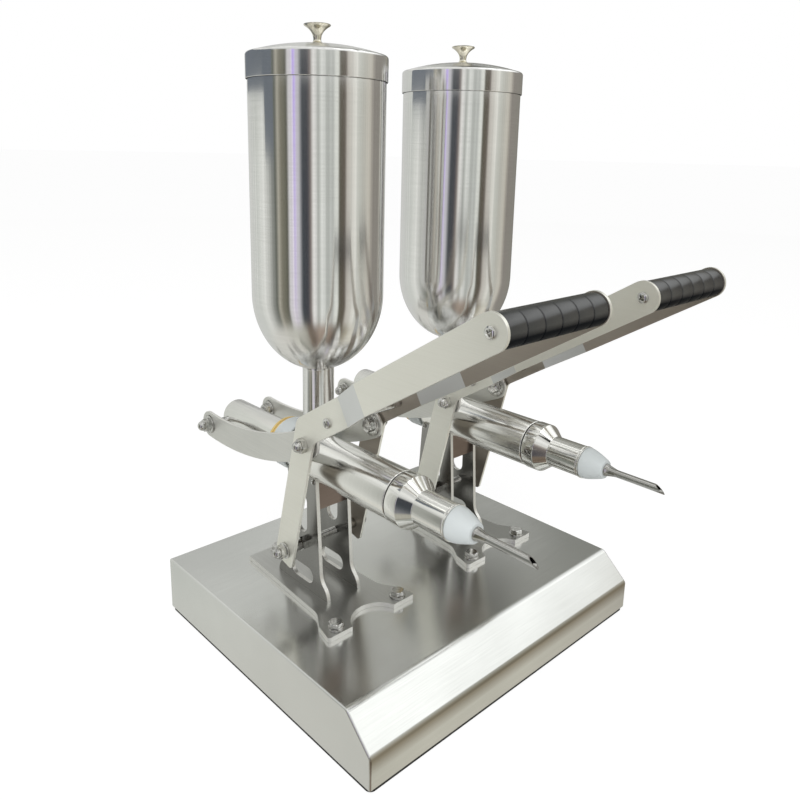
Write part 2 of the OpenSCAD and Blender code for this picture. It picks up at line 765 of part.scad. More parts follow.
module gland() color("white") backward(barrel_back - gland_over) difference() {
    cylinder(r = gland_r, h = gland_over + seat + gland_end);
    translate([0, 0, -over]) cylinder(r = barrel_r + seat, h = gland_over + seat + over);
    cylinder(r = rod_r + run_fit, h = gland_over + gland_end + 2 * over);
}

module gland_ring() color("goldenrod") backward(gland_back + seat) {
    groove = gland_ring_len * 0.5;
    groove_r = gland_ring_r - ring_groove;
    rotate_extrude() polygon([
        [rod_r + run_fit, 0], [gland_ring_r, 0], [gland_ring_r, groove], [groove_r, groove],
        [groove_r, groove + ring_groove], [gland_ring_r, groove + ring_groove],
        [gland_ring_r, gland_ring_len - ring_edge], [gland_ring_r - ring_edge, gland_ring_len],
        [rod_r + run_fit, gland_ring_len]]);
}

module tail_pin() color("gainsboro") {
    inner = link_in - side_gap - washer_t;
    outer = link_out + side_gap;
    eye_washer_r = eye_r + eye_up + 0.2;
    pin_end = outer + washer_t + seat + cap_reach;
    outward(-pin_end, tail) cylinder(r = bolt_r, h = 2 * pin_end);
    both_sides() {
        outward(inner - seat - nut_h, tail) nut();
        outward(inner, tail) washer(eye_washer_r);
        outward(outer, tail) washer(eye_washer_r);
        outward(outer + washer_t + seat, tail) cap_nut(cap_reach + seat);
    }
}

// LINKS AND LEVER

module links() color("lightgray") both_sides() {
    chord = elbow - tail;
    length = norm(chord);
    bow_r = (length * length / 4 + link_bow * link_bow) / (2 * link_bow);
    middle = (tail + elbow) / 2 + (bow_r - link_bow) * [chord[1], -chord[0]] / length;
    plate_x(link_in, link_out) difference() {
        union() {
            intersection() {
                difference() {
                    translate(middle) circle(bow_r + link_w / 2);
                    translate(middle) circle(bow_r - link_w / 2);
                }
                polygon([middle, middle + 1.3 * (tail - middle), middle + 1.3 * (elbow - middle)]);
            }
            translate(tail) circle(link_w / 2);
            translate(elbow) circle(link_w / 2);
        }
        translate(elbow) circle(pin_hole_r);
        translate(tail + [0, eye_up]) circle(eye_r);
    }
}

module elbow_bolts() color("gainsboro") both_sides() {
    head_top = link_in - side_gap - washer_t - seat;
    outward(head_top, elbow) {
        mirror([0, 0, 1]) hexagon(head_h);
        translate([0, 0, -head_h / 2])
            cylinder(r = bolt_r, h = strap_half + cap_reach - head_top + head_h / 2);
    }
    outward(link_in - side_gap - washer_t, elbow) washer(wide_washer_r);
    outward(link_out + side_gap, elbow) washer(wide_washer_r);
    outward(strap_half + seat, elbow) cap_nut(cap_reach + seat);
}

// Side outline of the lever: a strap up to the corner, then the arm to the grip
module lever_outline() {
    half = lever_w / 2;
    bisector = (arm_out - strap_up) / norm(arm_out - strap_up);
    fillet_at = corner + bisector * (half + corner_r) / sin(acos(arm_out * bisector));
    arm_side = 90 - arm_rise;
    end_at = pivot - (strap_end - strap_end_r) * strap_up;
    end_out = (half - strap_end_r) * strap_fwd;
    difference() {
        polygon(concat(
            arc(end_at + end_out, strap_end_r, 180 + strap_lean, 270 + strap_lean),
            arc(end_at - end_out, strap_end_r, 270 + strap_lean, 360 + strap_lean),
            arc(corner, half, strap_lean, arm_side),
            arc(grip_at, half, arm_side, arm_side + 180, 24),
            arc(fillet_at, corner_r, arm_side, strap_lean)));
        translate(pivot) circle(pin_hole_r);
        translate(elbow) circle(pin_hole_r);
        translate(bar) circle(pan_shank_r + seat);
        translate(grip_at) circle(pan_shank_r + seat);
    }
}

// One lever plate seen from above its arm: straight, splayed outwards, then straight again
function splay(x_near, x_far, shift) =
    [[x_near, -strap_len - lever_w], [x_near, fold_near + shift], [x_far, fold_far - shift],
     [x_far, arm_len + lever_w]];

module lever_plates() color("tan") both_sides() intersection() {
    plate_x(strap_in - over, grip_half + over) lever_outline();
    splay_angle = atan((grip_half - strap_half) / (fold_far - fold_near));
    shift = lever_t / 2 * tan(splay_angle / 2);
    outer = splay(strap_half, grip_half, -shift);
    inner = splay(strap_in, grip_in, shift);
    reach = strap_len + arm_len;
    translate([0, corner[0], corner[1]]) rotate([180 - arm_rise, 0, 0]) translate([0, 0, -reach / 2])
        linear_extrude(reach) polygon(concat(inner, [for (i = [3:-1:0]) outer[i]]));
}

module cross_bar() color("gainsboro") {
    bar_half = strap_in - seat;
    in_bar = pan_shank_len - lever_t;
    difference() {
        outward(-bar_half, bar) cylinder(r = bar_r, h = 2 * bar_half);
        both_sides() outward(bar_half - in_bar, bar) cylinder(r = pan_shank_r + seat, h = in_bar + over);
    }
    both_sides() outward(strap_half + seat, bar) pan_screw(pan_r, pan_h, pan_shank_r, pan_shank_len);
}

module grip() color("black") {
    half = grip_in - seat;
    in_grip = pan_shank_len - lever_t;
    step = 2 * half / (grip_grooves + 1);
    difference() {
        outward(-half, grip_at) cylinder(r = grip_r, h = 2 * half);
        for (i = [1:grip_grooves]) outward(-half + i * step - groove_w / 2, grip_at)
            ring(grip_r + over, grip_r - groove_deep, groove_w);
        both_sides() outward(half - in_grip, grip_at) cylinder(r = pan_shank_r + seat, h = in_grip + over);
    }
}

module grip_screws() color("gainsboro") both_sides()
    outward(grip_half + seat, grip_at) pan_screw(pan_r, pan_h, pan_shank_r, pan_shank_len);

// The fixed pivot rod and what holds the straps in place on it
nut_at_cheek = cheek_out + seat;
spacer_from = nut_at_cheek + nut_h + seat;
spacer_to = strap_in - side_gap;
pivot_cap_from = strap_half + side_gap;

module pivot_rod() color("gainsboro") {
    rod_half = pivot_cap_from + washer_t + seat + cap_reach;
    outward(-rod_half, pivot) cylinder(r = bolt_r, h = 2 * rod_half);
    both_sides() {
        outward(pivot_cap_from, pivot) washer(washer_r);
        outward(pivot_cap_from + washer_t + seat, pivot) cap_nut(cap_reach + seat);
    }
}

module pivot_spacers() color("gainsboro") both_sides() {
    outward(nut_at_cheek, pivot) nut();
    outward(spacer_from, pivot) ring(bolt_r * 1.5, pin_hole_r, spacer_to - spacer_from);
}

base_shell();
base_ribs();
base_trim();
at_left() bracket_plate();  // left_bracket_plate
at_right() bracket_plate();  // right_bracket_plate
at_left() bracket_bolts();  // left_bracket_bolts
at_right() bracket_bolts();  // right_bracket_bolts
at_left() cheek_plates();  // left_cheek_plates
at_right() cheek_plates();  // right_cheek_plates
at_left() cradle_plate();  // left_cradle_plate
at_right() cradle_plate();  // right_cradle_plate
at_left() stand_screws();  // left_stand_screws
at_right() stand_screws();  // right_stand_screws
at_left() barrel();  // left_barrel
at_right() barrel();  // right_barrel
at_left() neck();  // left_neck
at_right() neck();  // right_neck
at_left() hopper();  // left_hopper
at_right() hopper();  // right_hopper
at_left() lid();  // left_lid
at_right() lid();  // right_lid
at_left() lid_knob();  // left_lid_knob
at_right() lid_knob();  // right_lid_knob
at_left() seam_ring();  // left_seam_ring
at_right() seam_ring();  // right_seam_ring
at_left() head();  // left_head
at_right() head();  // right_head
at_left() nozzle();  // left_nozzle
at_right() nozzle();  // right_nozzle
at_left() needle();  // left_needle
at_right() needle();  // right_needle
at_left() piston();  // left_piston
at_right() piston();  // right_piston
at_left() piston_seals();  // left_piston_seals
at_right() piston_seals();  // right_piston_seals
at_left() piston_rod();  // left_piston_rod
at_right() piston_rod();  // right_piston_rod
at_left() gland();  // left_gland
at_right() gland();  // right_gland
at_left() gland_ring();  // left_gland_ring
at_right() gland_ring();  // right_gland_ring
at_left() tail_pin();  // left_tail_pin
at_right() tail_pin();  // right_tail_pin
at_left() links();  // left_links
at_right() links();  // right_links
at_left() elbow_bolts();  // left_elbow_bolts
at_right() elbow_bolts();  // right_elbow_bolts
at_left() lever_plates();  // left_lever_plates
at_right() lever_plates();  // right_lever_plates
at_left() cross_bar();  // left_cross_bar
at_right() cross_bar();  // right_cross_bar
at_left() grip();  // left_grip
at_right() grip();  // right_grip
at_left() grip_screws();  // left_grip_screws
at_right() grip_screws();  // right_grip_screws
at_left() pivot_rod();  // left_pivot_rod
at_right() pivot_rod();  // right_pivot_rod
at_left() pivot_spacers();  // left_pivot_spacers
at_right() pivot_spacers();  // right_pivot_spacers
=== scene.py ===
# %% [markdown]
# # A cream filling machine with two hand levers
# Two tall steel hoppers feed two barrels. Each lever pushes a piston that presses the cream out of
# a hollow needle. The measured frame is loaded first and never moved. Nearly every piece is then
# made again with soft edges and a finish of its own, and rides on the body that it belongs to.

import json
import math

import bmesh
import bpy
from mathutils import Matrix, Vector

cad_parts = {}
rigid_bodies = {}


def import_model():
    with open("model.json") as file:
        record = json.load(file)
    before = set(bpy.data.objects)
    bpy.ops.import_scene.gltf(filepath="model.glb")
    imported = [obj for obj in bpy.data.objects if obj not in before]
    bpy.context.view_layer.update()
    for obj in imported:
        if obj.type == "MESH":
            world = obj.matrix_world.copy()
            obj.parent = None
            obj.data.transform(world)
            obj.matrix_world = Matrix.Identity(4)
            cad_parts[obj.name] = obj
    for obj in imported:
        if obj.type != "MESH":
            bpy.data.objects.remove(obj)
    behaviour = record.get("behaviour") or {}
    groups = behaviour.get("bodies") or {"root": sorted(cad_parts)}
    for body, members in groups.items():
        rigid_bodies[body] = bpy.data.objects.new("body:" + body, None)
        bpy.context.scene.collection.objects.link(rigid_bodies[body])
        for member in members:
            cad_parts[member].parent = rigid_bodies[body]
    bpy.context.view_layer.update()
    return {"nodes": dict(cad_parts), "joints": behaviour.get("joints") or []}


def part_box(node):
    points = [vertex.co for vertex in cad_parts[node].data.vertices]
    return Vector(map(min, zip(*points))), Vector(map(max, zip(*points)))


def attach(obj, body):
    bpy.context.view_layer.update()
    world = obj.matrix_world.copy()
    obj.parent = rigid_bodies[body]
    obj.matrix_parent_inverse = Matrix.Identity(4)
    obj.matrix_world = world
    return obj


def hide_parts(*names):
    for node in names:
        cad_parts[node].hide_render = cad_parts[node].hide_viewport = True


for leftover in list(bpy.data.objects):
    bpy.data.objects.remove(leftover)
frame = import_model()
nodes = frame["nodes"]
scene = bpy.context.scene
print("frame loaded with", len(nodes), "nodes")

# %% [markdown]
# The photograph gives the camera: a lens of about 34 mm on a 36 mm sensor, half a metre above the
# table, looking at the front left corner of the base. The picture was cropped, so its middle isn't
# where the lens pointed, and a small vertical shift puts that back.

# %% Camera
LENS = 33.93
SENSOR = 36
SHIFT_UP = -0.0938
CAMERA_PLACE = (-0.54837, -0.56877, 0.53093)
camera_right = Vector((0.7297, -0.68342, 0.02171))
camera_up = Vector((0.14215, 0.18268, 0.97284))
camera_ahead = Vector((0.66883, 0.7068, -0.23045))
camera_data = bpy.data.cameras.new("camera")
camera_data.lens = LENS
camera_data.sensor_width = SENSOR
camera_data.sensor_fit = "HORIZONTAL"
camera_data.shift_y = SHIFT_UP
camera = bpy.data.objects.new("camera", camera_data)
turn = Matrix((camera_right, camera_up, -camera_ahead)).transposed().to_4x4()
camera.matrix_world = Matrix.Translation(CAMERA_PLACE) @ turn
scene.collection.objects.link(camera)
scene.camera = camera
print("camera at", [round(v, 3) for v in camera.matrix_world.translation])

# %% [markdown]
# Sizes that several pieces share are measured on the frame, so they can't drift away from it. Each
# joint of the frame also says where its pivot lies.

# %% Places and sizes measured on the frame
MM = 0.001
AIR = 0.05 * MM
joints = {joint["name"]: joint for joint in frame["joints"]}


def centre(node):
    """Middle of a frame node's box."""
    low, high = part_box(node)
    return (low + high) / 2


SIDES = {side: centre(f"{side}_barrel").x for side in ("left", "right")}
pivot = Vector(joints["left_lever_pivot"]["pos_m"]).yz
elbow = Vector(joints["left_elbow"]["pos_m"]).yz
tail = centre("left_tail_pin").yz
grip_at = centre("left_grip").yz
bar_at = centre("left_cross_bar").yz
barrel_low, barrel_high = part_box("left_barrel")
barrel_r = (barrel_high.x - barrel_low.x) / 2
barrel_z = centre("left_barrel").z
stand_y = centre("left_hopper").y
plate_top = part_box("left_bracket_plate")[1].z
print("barrel radius", round(barrel_r, 4), "at height", round(barrel_z, 4))

# %% [markdown]
# ## Tools for making pieces
# Most pieces here were turned on a lathe or bent from sheet. One helper turns an outline about an
# axis, another softens the corners of an outline, and a third copies a sheet piece of the frame and
# rounds its edges, because the eye reads the thin highlight on an edge as real metal.
#
# A turned piece is first made upright, with its height along Z. These four say where it stands and
# which way its height then points. The place goes into the mesh, so the object itself stays at the
# origin, where patterns on Object coordinates keep their size and direction.

# %% Placing a turned piece
def upright(x, y, z):
    """Height goes up."""
    return Matrix.Translation((x, y, z))


def forward(x, y, z):
    """Height goes towards the front of the machine."""
    return Matrix.Translation((x, y, z)) @ Matrix.Rotation(math.pi / 2, 4, "X")


def backward(x, y, z):
    """Height goes towards the back."""
    return Matrix.Translation((x, y, z)) @ Matrix.Rotation(-math.pi / 2, 4, "X")


def sideways(x, place, way=1):
    """Height goes to the right, or to the left if way is -1."""
    lying = Matrix.Rotation(way * math.pi / 2, 4, "Y")
    return Matrix.Translation((x, place[0], place[1])) @ lying


print("ways to lay a piece:", [way.__name__ for way in (upright, forward, backward, sideways)])

# %% Softening an outline
NEARLY_STRAIGHT = math.radians(165)


def soft(points, radius=0.4 * MM, steps=3, closed=False):
    """The same outline with each corner turned into a small curve."""
    flat = [Vector(p) for p in points]
    count = len(flat)
    out = []
    for i, here in enumerate(flat):
        if not closed and i in (0, count - 1):
            out.append(here)
            continue
        back, ahead = flat[i - 1] - here, flat[(i + 1) % count] - here
        if back.length < 1e-7 or ahead.length < 1e-7:
            continue
        if back.angle(ahead) > NEARLY_STRAIGHT:
            out.append(here)
            continue
        reach = min(radius, 0.45 * back.length, 0.45 * ahead.length)
        start, end = here + back.normalized() * reach, here + ahead.normalized() * reach
        for k in range(steps + 1):
            t = k / steps
            out.append(start * (1 - t) ** 2 + here * 2 * t * (1 - t) + end * t ** 2)
    return [tuple(p) for p in out]


print("a softened square has", len(soft([(0, 0), (1, 0), (1, 1), (0, 1)], closed=True)), "points")

# %% Showing a mesh and fixing it to its body
def show(name, mesh, finish, angle=32):
    """Puts a mesh in the scene with its finish, smooth except where it turns sharply."""
    mesh.materials.clear()
    mesh.materials.append(finish)
    mesh.shade_smooth()
    mesh.set_sharp_from_angle(angle=math.radians(angle))
    piece = bpy.data.objects.new(name, mesh)
    scene.collection.objects.link(piece)
    return piece


def settle(piece, body, slot, *replaced):
    """Fixes a finished piece to its body and hides the frame nodes it stands for."""
    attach(piece, body)
    if replaced:
        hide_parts(*replaced)
    return piece


print("helpers to show and settle a piece are ready")

# %% Turning an outline into a mesh
def turned_mesh(name, outline, place=None, steps=72, closed=False):
    """Mesh of an outline of (radius, height) turned about the axis."""
    place = place or Matrix.Identity(4)
    bm = bmesh.new()
    rings = []
    for radius, height in outline:
        spots = 1 if radius < 1e-6 else steps
        rings.append([
            bm.verts.new(place @ Vector((radius * math.cos(2 * math.pi * i / steps),
                                         radius * math.sin(2 * math.pi * i / steps), height)))
            for i in range(spots)])
    pairs = list(zip(rings, rings[1:]))
    if closed:
        pairs.append((rings[-1], rings[0]))
    for one, other in pairs:
        for i in range(steps):
            j = i + 1
            around_face = (one[i % len(one)], one[j % len(one)],
                           other[j % len(other)], other[i % len(other)])
            corners = []
            for v in around_face:
                if v not in corners:
                    corners.append(v)
            if len(corners) > 2:
                bm.faces.new(corners)
    bmesh.ops.remove_doubles(bm, verts=bm.verts, dist=1e-7)
    bmesh.ops.recalc_face_normals(bm, faces=bm.faces)
    mesh = bpy.data.meshes.new(name)
    bm.to_mesh(mesh)
    bm.free()
    return mesh


def turned(name, outline, place, finish, steps=72, closed=False):
    """A turned piece in the scene."""
    return show(name, turned_mesh(name, outline, place, steps, closed), finish)


print("turning helpers ready")

# %% Plain meshes and cut sides
BROAD_SHARE = 0.12
SAME_WAY = 0.35


def plain(piece):
    """Applies the modifiers of a piece and leaves a plain mesh."""
    graph = bpy.context.evaluated_depsgraph_get()
    mesh = bpy.data.meshes.new_from_object(piece.evaluated_get(graph))
    old = piece.data
    piece.modifiers.clear()
    piece.data = mesh
    bpy.data.meshes.remove(old)
    return piece


def mark_cut_sides(mesh):
    """Gives the second finish to faces that don't lie like the sheet's broad faces."""
    areas = {}
    for face in mesh.polygons:
        way = tuple(round(abs(v), 2) for v in face.normal)
        areas[way] = areas.get(way, 0) + face.area
    least = BROAD_SHARE * sum(areas.values())
    broad = [Vector(way) for way, area in areas.items() if area > least]
    for face in mesh.polygons:
        way = Vector([abs(v) for v in face.normal])
        if all((way - wide).length > SAME_WAY for wide in broad):
            face.material_index = 1


print("a broad face holds more than", BROAD_SHARE, "of a sheet's area")

# %% Copying a sheet piece with rounded edges
SHARP = math.radians(40)


def sheet_copy(node, name, finish, edge, cut_finish):
    """A copy of a frame node with its edges rounded and its cut sides in their own finish."""
    bm = bmesh.new()
    bm.from_mesh(nodes[node].data)
    bmesh.ops.remove_doubles(bm, verts=bm.verts, dist=2e-6)
    bmesh.ops.dissolve_limit(bm, angle_limit=math.radians(0.6), verts=bm.verts, edges=bm.edges)
    mesh = bpy.data.meshes.new(name)
    bm.to_mesh(mesh)
    bm.free()
    piece = show(name, mesh, finish)
    bevel = piece.modifiers.new("edge", "BEVEL")
    bevel.width = edge
    bevel.segments = 2
    bevel.limit_method = "ANGLE"
    bevel.angle_limit = SHARP
    bevel.use_clamp_overlap = True
    weights = piece.modifiers.new("even", "WEIGHTED_NORMAL")
    weights.keep_sharp = True
    plain(piece)
    piece.data.materials.append(cut_finish)
    mark_cut_sides(piece.data)
    return piece


print("tools ready")

# %% [markdown]
# ## Finishes
# Brushed steel is steel with thousands of fine scratches that all run one way. A picture of steel
# would do, but it would stretch over the pieces and blur close up. A noise pattern, stretched more
# than a hundredfold along the scratches, gives their tone, their roughness and a tiny bump instead.
# A second, slow pattern keeps large faces from looking printed. Every pattern reads Object
# coordinates, so it keeps its real size in millimetres on every piece.

# %% Patterns for a finish
def new_finish(name):
    """A material with its main shader ready."""
    material = bpy.data.materials.new(name)
    material.use_nodes = True
    tree = material.node_tree
    return material, tree, tree.nodes["Principled BSDF"]


def pattern(tree, scale, turn=(0, 0, 0), detail=4.0, rough=0.6):
    """Noise on Object coordinates, stretched by a scale for each axis."""
    place = tree.nodes.new("ShaderNodeTexCoord")
    mapping = tree.nodes.new("ShaderNodeMapping")
    mapping.inputs["Scale"].default_value = scale
    mapping.inputs["Rotation"].default_value = turn
    noise = tree.nodes.new("ShaderNodeTexNoise")
    noise.inputs["Scale"].default_value = 1.0
    noise.inputs["Detail"].default_value = detail
    noise.inputs["Roughness"].default_value = rough
    tree.links.new(place.outputs["Object"], mapping.inputs["Vector"])
    tree.links.new(mapping.outputs["Vector"], noise.inputs["Vector"])
    return noise.outputs["Fac"]


def place_of(tree):
    """The X, Y and Z of each point of a piece."""
    place = tree.nodes.new("ShaderNodeTexCoord")
    split = tree.nodes.new("ShaderNodeSeparateXYZ")
    tree.links.new(place.outputs["Object"], split.inputs["Vector"])
    return split.outputs


print("patterns read Object coordinates")

# %% Sums with values and colours
def ranged(tree, value, low, high, to_low, to_high):
    """A value moved from one range to another."""
    node = tree.nodes.new("ShaderNodeMapRange")
    node.inputs["From Min"].default_value = low
    node.inputs["From Max"].default_value = high
    node.inputs["To Min"].default_value = to_low
    node.inputs["To Max"].default_value = to_high
    tree.links.new(value, node.inputs["Value"])
    return node.outputs["Result"]


def blended(tree, value, dark, light):
    """A colour between two, chosen by a value."""
    node = tree.nodes.new("ShaderNodeMix")
    node.data_type = "RGBA"
    node.inputs["A"].default_value = (*dark, 1)
    node.inputs["B"].default_value = (*light, 1)
    tree.links.new(value, node.inputs["Factor"])
    return node.outputs["Result"]


def added(tree, one, other, share=1.0):
    """One value plus a share of another."""
    node = tree.nodes.new("ShaderNodeMath")
    node.operation = "MULTIPLY_ADD"
    tree.links.new(other, node.inputs[0])
    node.inputs[1].default_value = share
    tree.links.new(one, node.inputs[2])
    return node.outputs[0]


def bumped(tree, shader, value, depth):
    """Raises the surface by a value."""
    bump = tree.nodes.new("ShaderNodeBump")
    bump.inputs["Strength"].default_value = 1.0
    bump.inputs["Distance"].default_value = depth
    tree.links.new(value, bump.inputs["Height"])
    tree.links.new(bump.outputs["Normal"], shader.inputs["Normal"])


print("helpers for values and colours ready")

# %% Brushed and polished steel
SCRATCH_DEPTH = 0.004 * MM
CLOUD_SHARE = 0.8
NOISE_LOW, NOISE_HIGH = 0.55, 1.25


def steel(name, dark, light, rough, lines, turn=(0, 0, 0), spread=0.04, stretch=None, smear=0.75,
          metal=1.0):
    """Steel with fine lines. Lines holds how fast the pattern changes along each axis.

    Stretch is the direction that reflections smear along, square to the polishing lines."""
    material, tree, shader = new_finish(name)
    scratches = pattern(tree, lines, turn)
    clouds = pattern(tree, (9, 9, 9), detail=3.0, rough=0.5)
    both = added(tree, scratches, clouds, CLOUD_SHARE)
    tone = ranged(tree, both, NOISE_LOW, NOISE_HIGH, 0, 1)
    tree.links.new(blended(tree, tone, dark, light), shader.inputs["Base Color"])
    shine = ranged(tree, tone, 0, 1, rough + spread, rough - spread)
    tree.links.new(shine, shader.inputs["Roughness"])
    shader.inputs["Metallic"].default_value = metal
    bumped(tree, shader, scratches, SCRATCH_DEPTH)
    if stretch:
        way = tree.nodes.new("ShaderNodeCombineXYZ")
        for axis, value in zip("XYZ", stretch):
            way.inputs[axis].default_value = value
        shader.inputs["Anisotropic"].default_value = smear
        tree.links.new(way.outputs["Vector"], shader.inputs["Tangent"])
    return material


# %% [markdown]
# Each group of pieces has a steel of its own. The lines run round a hopper and a barrel and along a
# lever. FINE is how fast the pattern changes across the lines and LONG how fast along them, in
# steps to the metre. Polished pieces are smooth, plates and levers duller, and the cheeks and the
# cradle, which stand between dark neighbours, get a darker and browner steel as painted shade.

# %% Steels of the hoppers, barrels, heads and base
FINE = 3200
LONG = 18
ARM_RISE = math.radians(31.7)
hopper_steel = steel("hopper_steel", (0.77, 0.765, 0.755), (0.90, 0.895, 0.89), 0.15,
                     (22, 22, 1500), spread=0.03, stretch=(0, 0, 1), smear=0.95)
barrel_steel = steel("barrel_steel", (0.80, 0.795, 0.765), (0.94, 0.935, 0.905), 0.15,
                     (LONG, FINE, LONG), stretch=(0, 1, 0))
head_steel = steel("head_steel", (0.75, 0.745, 0.715), (0.89, 0.885, 0.855), 0.09,
                   (LONG, FINE, LONG), spread=0.02)
needle_steel = steel("needle_steel", (0.40, 0.395, 0.38), (0.62, 0.615, 0.60), 0.12,
                     (FINE, LONG, FINE))
base_steel = steel("base_steel", (0.64, 0.645, 0.63), (0.78, 0.785, 0.77), 0.19,
                   (LONG, FINE, FINE))
plate_steel = steel("plate_steel", (0.48, 0.48, 0.465), (0.64, 0.64, 0.62), 0.30,
                    (FINE, LONG, FINE))
# Painted shade: the cheeks and the cradle are darker and browner than plain steel, for the shade
# between their neighbours.
cheek_steel = steel("cheek_steel", (0.25, 0.245, 0.235), (0.37, 0.365, 0.35), 0.24,
                    (FINE, FINE, LONG))
cradle_steel = steel("cradle_steel", (0.20, 0.155, 0.13), (0.28, 0.22, 0.19), 0.34,
                     (LONG, FINE, FINE))
print("steels:", [m.name for m in (hopper_steel, barrel_steel, head_steel, needle_steel,
                                   base_steel, plate_steel, cheek_steel, cradle_steel)])

# %% Steels of the cut edges, levers, links, knobs and fasteners
# The cut edges are rougher than their sheets, as a cut is, and lighter, which is a painted highlight
# along every edge.
cut_edge_highlight_steel = steel("cut_edge_highlight_steel", (0.80, 0.79, 0.76), (0.92, 0.91, 0.89), 0.42, (900, 900, 900))
lever_steel = steel("lever_steel", (0.80, 0.79, 0.72), (0.88, 0.87, 0.805), 0.38,
                    (FINE, LONG, FINE), turn=(ARM_RISE, 0, 0), metal=0.85)
link_steel = steel("link_steel", (0.58, 0.58, 0.55), (0.74, 0.735, 0.70), 0.34,
                   (FINE, LONG, FINE), metal=0.8)
knob_steel = steel("knob_steel", (0.70, 0.66, 0.54), (0.86, 0.82, 0.70), 0.12,
                   (LONG, LONG, FINE))
fastener_steel = steel("fastener_steel", (0.20, 0.195, 0.18), (0.98, 0.975, 0.96), 0.10,
                       (300, 300, 300))
print("steels:", [m.name for m in (cut_edge_highlight_steel, lever_steel, link_steel, knob_steel,
                                   fastener_steel)])


# %% Plastics, rubber and brass
def moulded(name, dark, light, rough, grain, depth):
    """A moulded or rubber surface with a fine grain."""
    material, tree, shader = new_finish(name)
    speckle = pattern(tree, (grain, grain, grain))
    clouds = pattern(tree, (15, 15, 15), detail=2.0)
    tone = ranged(tree, clouds, 0.3, 0.7, 0, 1)
    tree.links.new(blended(tree, tone, dark, light), shader.inputs["Base Color"])
    shine = ranged(tree, speckle, 0.3, 0.7, rough - 0.05, rough + 0.05)
    tree.links.new(shine, shader.inputs["Roughness"])
    bumped(tree, shader, speckle, depth)
    return material


milky_plastic = moulded("milky_plastic", (0.58, 0.62, 0.62), (0.65, 0.69, 0.69), 0.36, 600,
                        0.02 * MM)
black_grip = moulded("black_grip", (0.005, 0.006, 0.007), (0.008, 0.009, 0.011), 0.20, 500,
                     0.005 * MM)
black_rubber = moulded("black_rubber", (0.008, 0.008, 0.008), (0.018, 0.018, 0.018), 0.62, 1200,
                       0.05 * MM)
brass = steel("brass", (0.72, 0.50, 0.18), (0.95, 0.76, 0.36), 0.20, (LONG, FINE, LONG))
print("others:", [m.name for m in (milky_plastic, black_grip, black_rubber, brass)])

# %% [markdown]
# Each lever plate is bent twice, so that the pair stands wider apart at the grip. The slanted strip
# between the bends mirrors another part of the room, and the inner sides mirror the dark of the
# machine. Plain surroundings can't show that, so both are painted: the strip gets a greyer steel as
# a painted reflection, and the inner sides a darker, browner steel as painted shade.

# %% Painted reflection on the slanted strips and painted shade on the inner sides of the levers
fold_reflection_steel = steel("fold_reflection_steel", (0.62, 0.63, 0.62), (0.70, 0.71, 0.70), 0.34,
                   (FINE, LONG, FINE), turn=(ARM_RISE, 0, 0), metal=0.7)
inner_shade_steel = steel("inner_shade_steel", (0.38, 0.34, 0.295), (0.46, 0.415, 0.36), 0.36,
                    (FINE, LONG, FINE), turn=(ARM_RISE, 0, 0), metal=0.8)
print("lever steels:", [m.name for m in (lever_steel, fold_reflection_steel, inner_shade_steel)])

# %% [markdown]
# The grip mirrors the room on top like ordinary glossy plastic, and hardly at all underneath, which
# is painted shade. The height on the grip sets the index of refraction: near 1 hardly anything is
# mirrored, and 1.5 is ordinary glossy plastic.

# %% Shine of the grip, with painted shade underneath
SHADED_IOR, GLOSSY_IOR = 1.04, 1.5
SHADED_BELOW, GLOSSY_ABOVE = 4.5 * MM, 0.5 * MM


def painted_shade_below(material, height):
    """Fades the shine of a material out below a height, as painted shade."""
    tree = material.node_tree
    shader = tree.nodes["Principled BSDF"]
    shader.inputs["Specular IOR Level"].default_value = 1.0
    shine = ranged(tree, place_of(tree)["Z"], height - SHADED_BELOW, height + GLOSSY_ABOVE,
                   SHADED_IOR, GLOSSY_IOR)
    tree.links.new(shine, shader.inputs["IOR"])


painted_shade_below(black_grip, grip_at.y)
print("grip shines above", round(grip_at.y + GLOSSY_ABOVE, 4))

# %% [markdown]
# ## Base
# The base is one sheet, folded over the front into a sloping edge. A fold never comes to a knife
# edge: the sheet turns through a radius of about its own thickness, which catches a bright line.
# Folding a flat sheet step by step would work, but the box is quicker to build from its side
# outline. A weighted bevel then rounds its folds, and Solidify gives the sheet its thickness.

# %% Outline of the base
SHEET = 2 * MM
FRONT_H = 35.5 * MM
SLOPE_D = 32 * MM
LIP = 16 * MM
FOLD_R = 3.2 * MM
CORNER_SHARE = 0.55
base_low, base_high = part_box("base_shell")


def open_box():
    """Four walls and a top from the side outline, and the lip turned in along the foot."""
    x, back, front = base_high.x, base_high.y, base_low.y
    low, top = base_low.z, base_high.z
    side = [(front, low), (front, FRONT_H), (front + SLOPE_D, top), (back, top), (back, low)]
    bm = bmesh.new()
    ends = [[bm.verts.new((way * x, y, z)) for y, z in side] for way in (-1, 1)]
    left, right = ends
    for i in range(4):
        bm.faces.new((left[i], left[i + 1], right[i + 1], right[i]))
    bm.faces.new(left)
    bm.faces.new(right)
    foot = [left[0], right[0], right[4], left[4]]
    lip = [bm.verts.new((math.copysign(abs(v.co.x) - LIP, v.co.x),
                         math.copysign(abs(v.co.y) - LIP, v.co.y), low)) for v in foot]
    for i in range(4):
        j = (i + 1) % 4
        bm.faces.new((foot[i], foot[j], lip[j], lip[i]))
    bmesh.ops.recalc_face_normals(bm, faces=bm.faces)
    return bm, lip


print("base", [round(v, 3) for v in base_high - base_low])

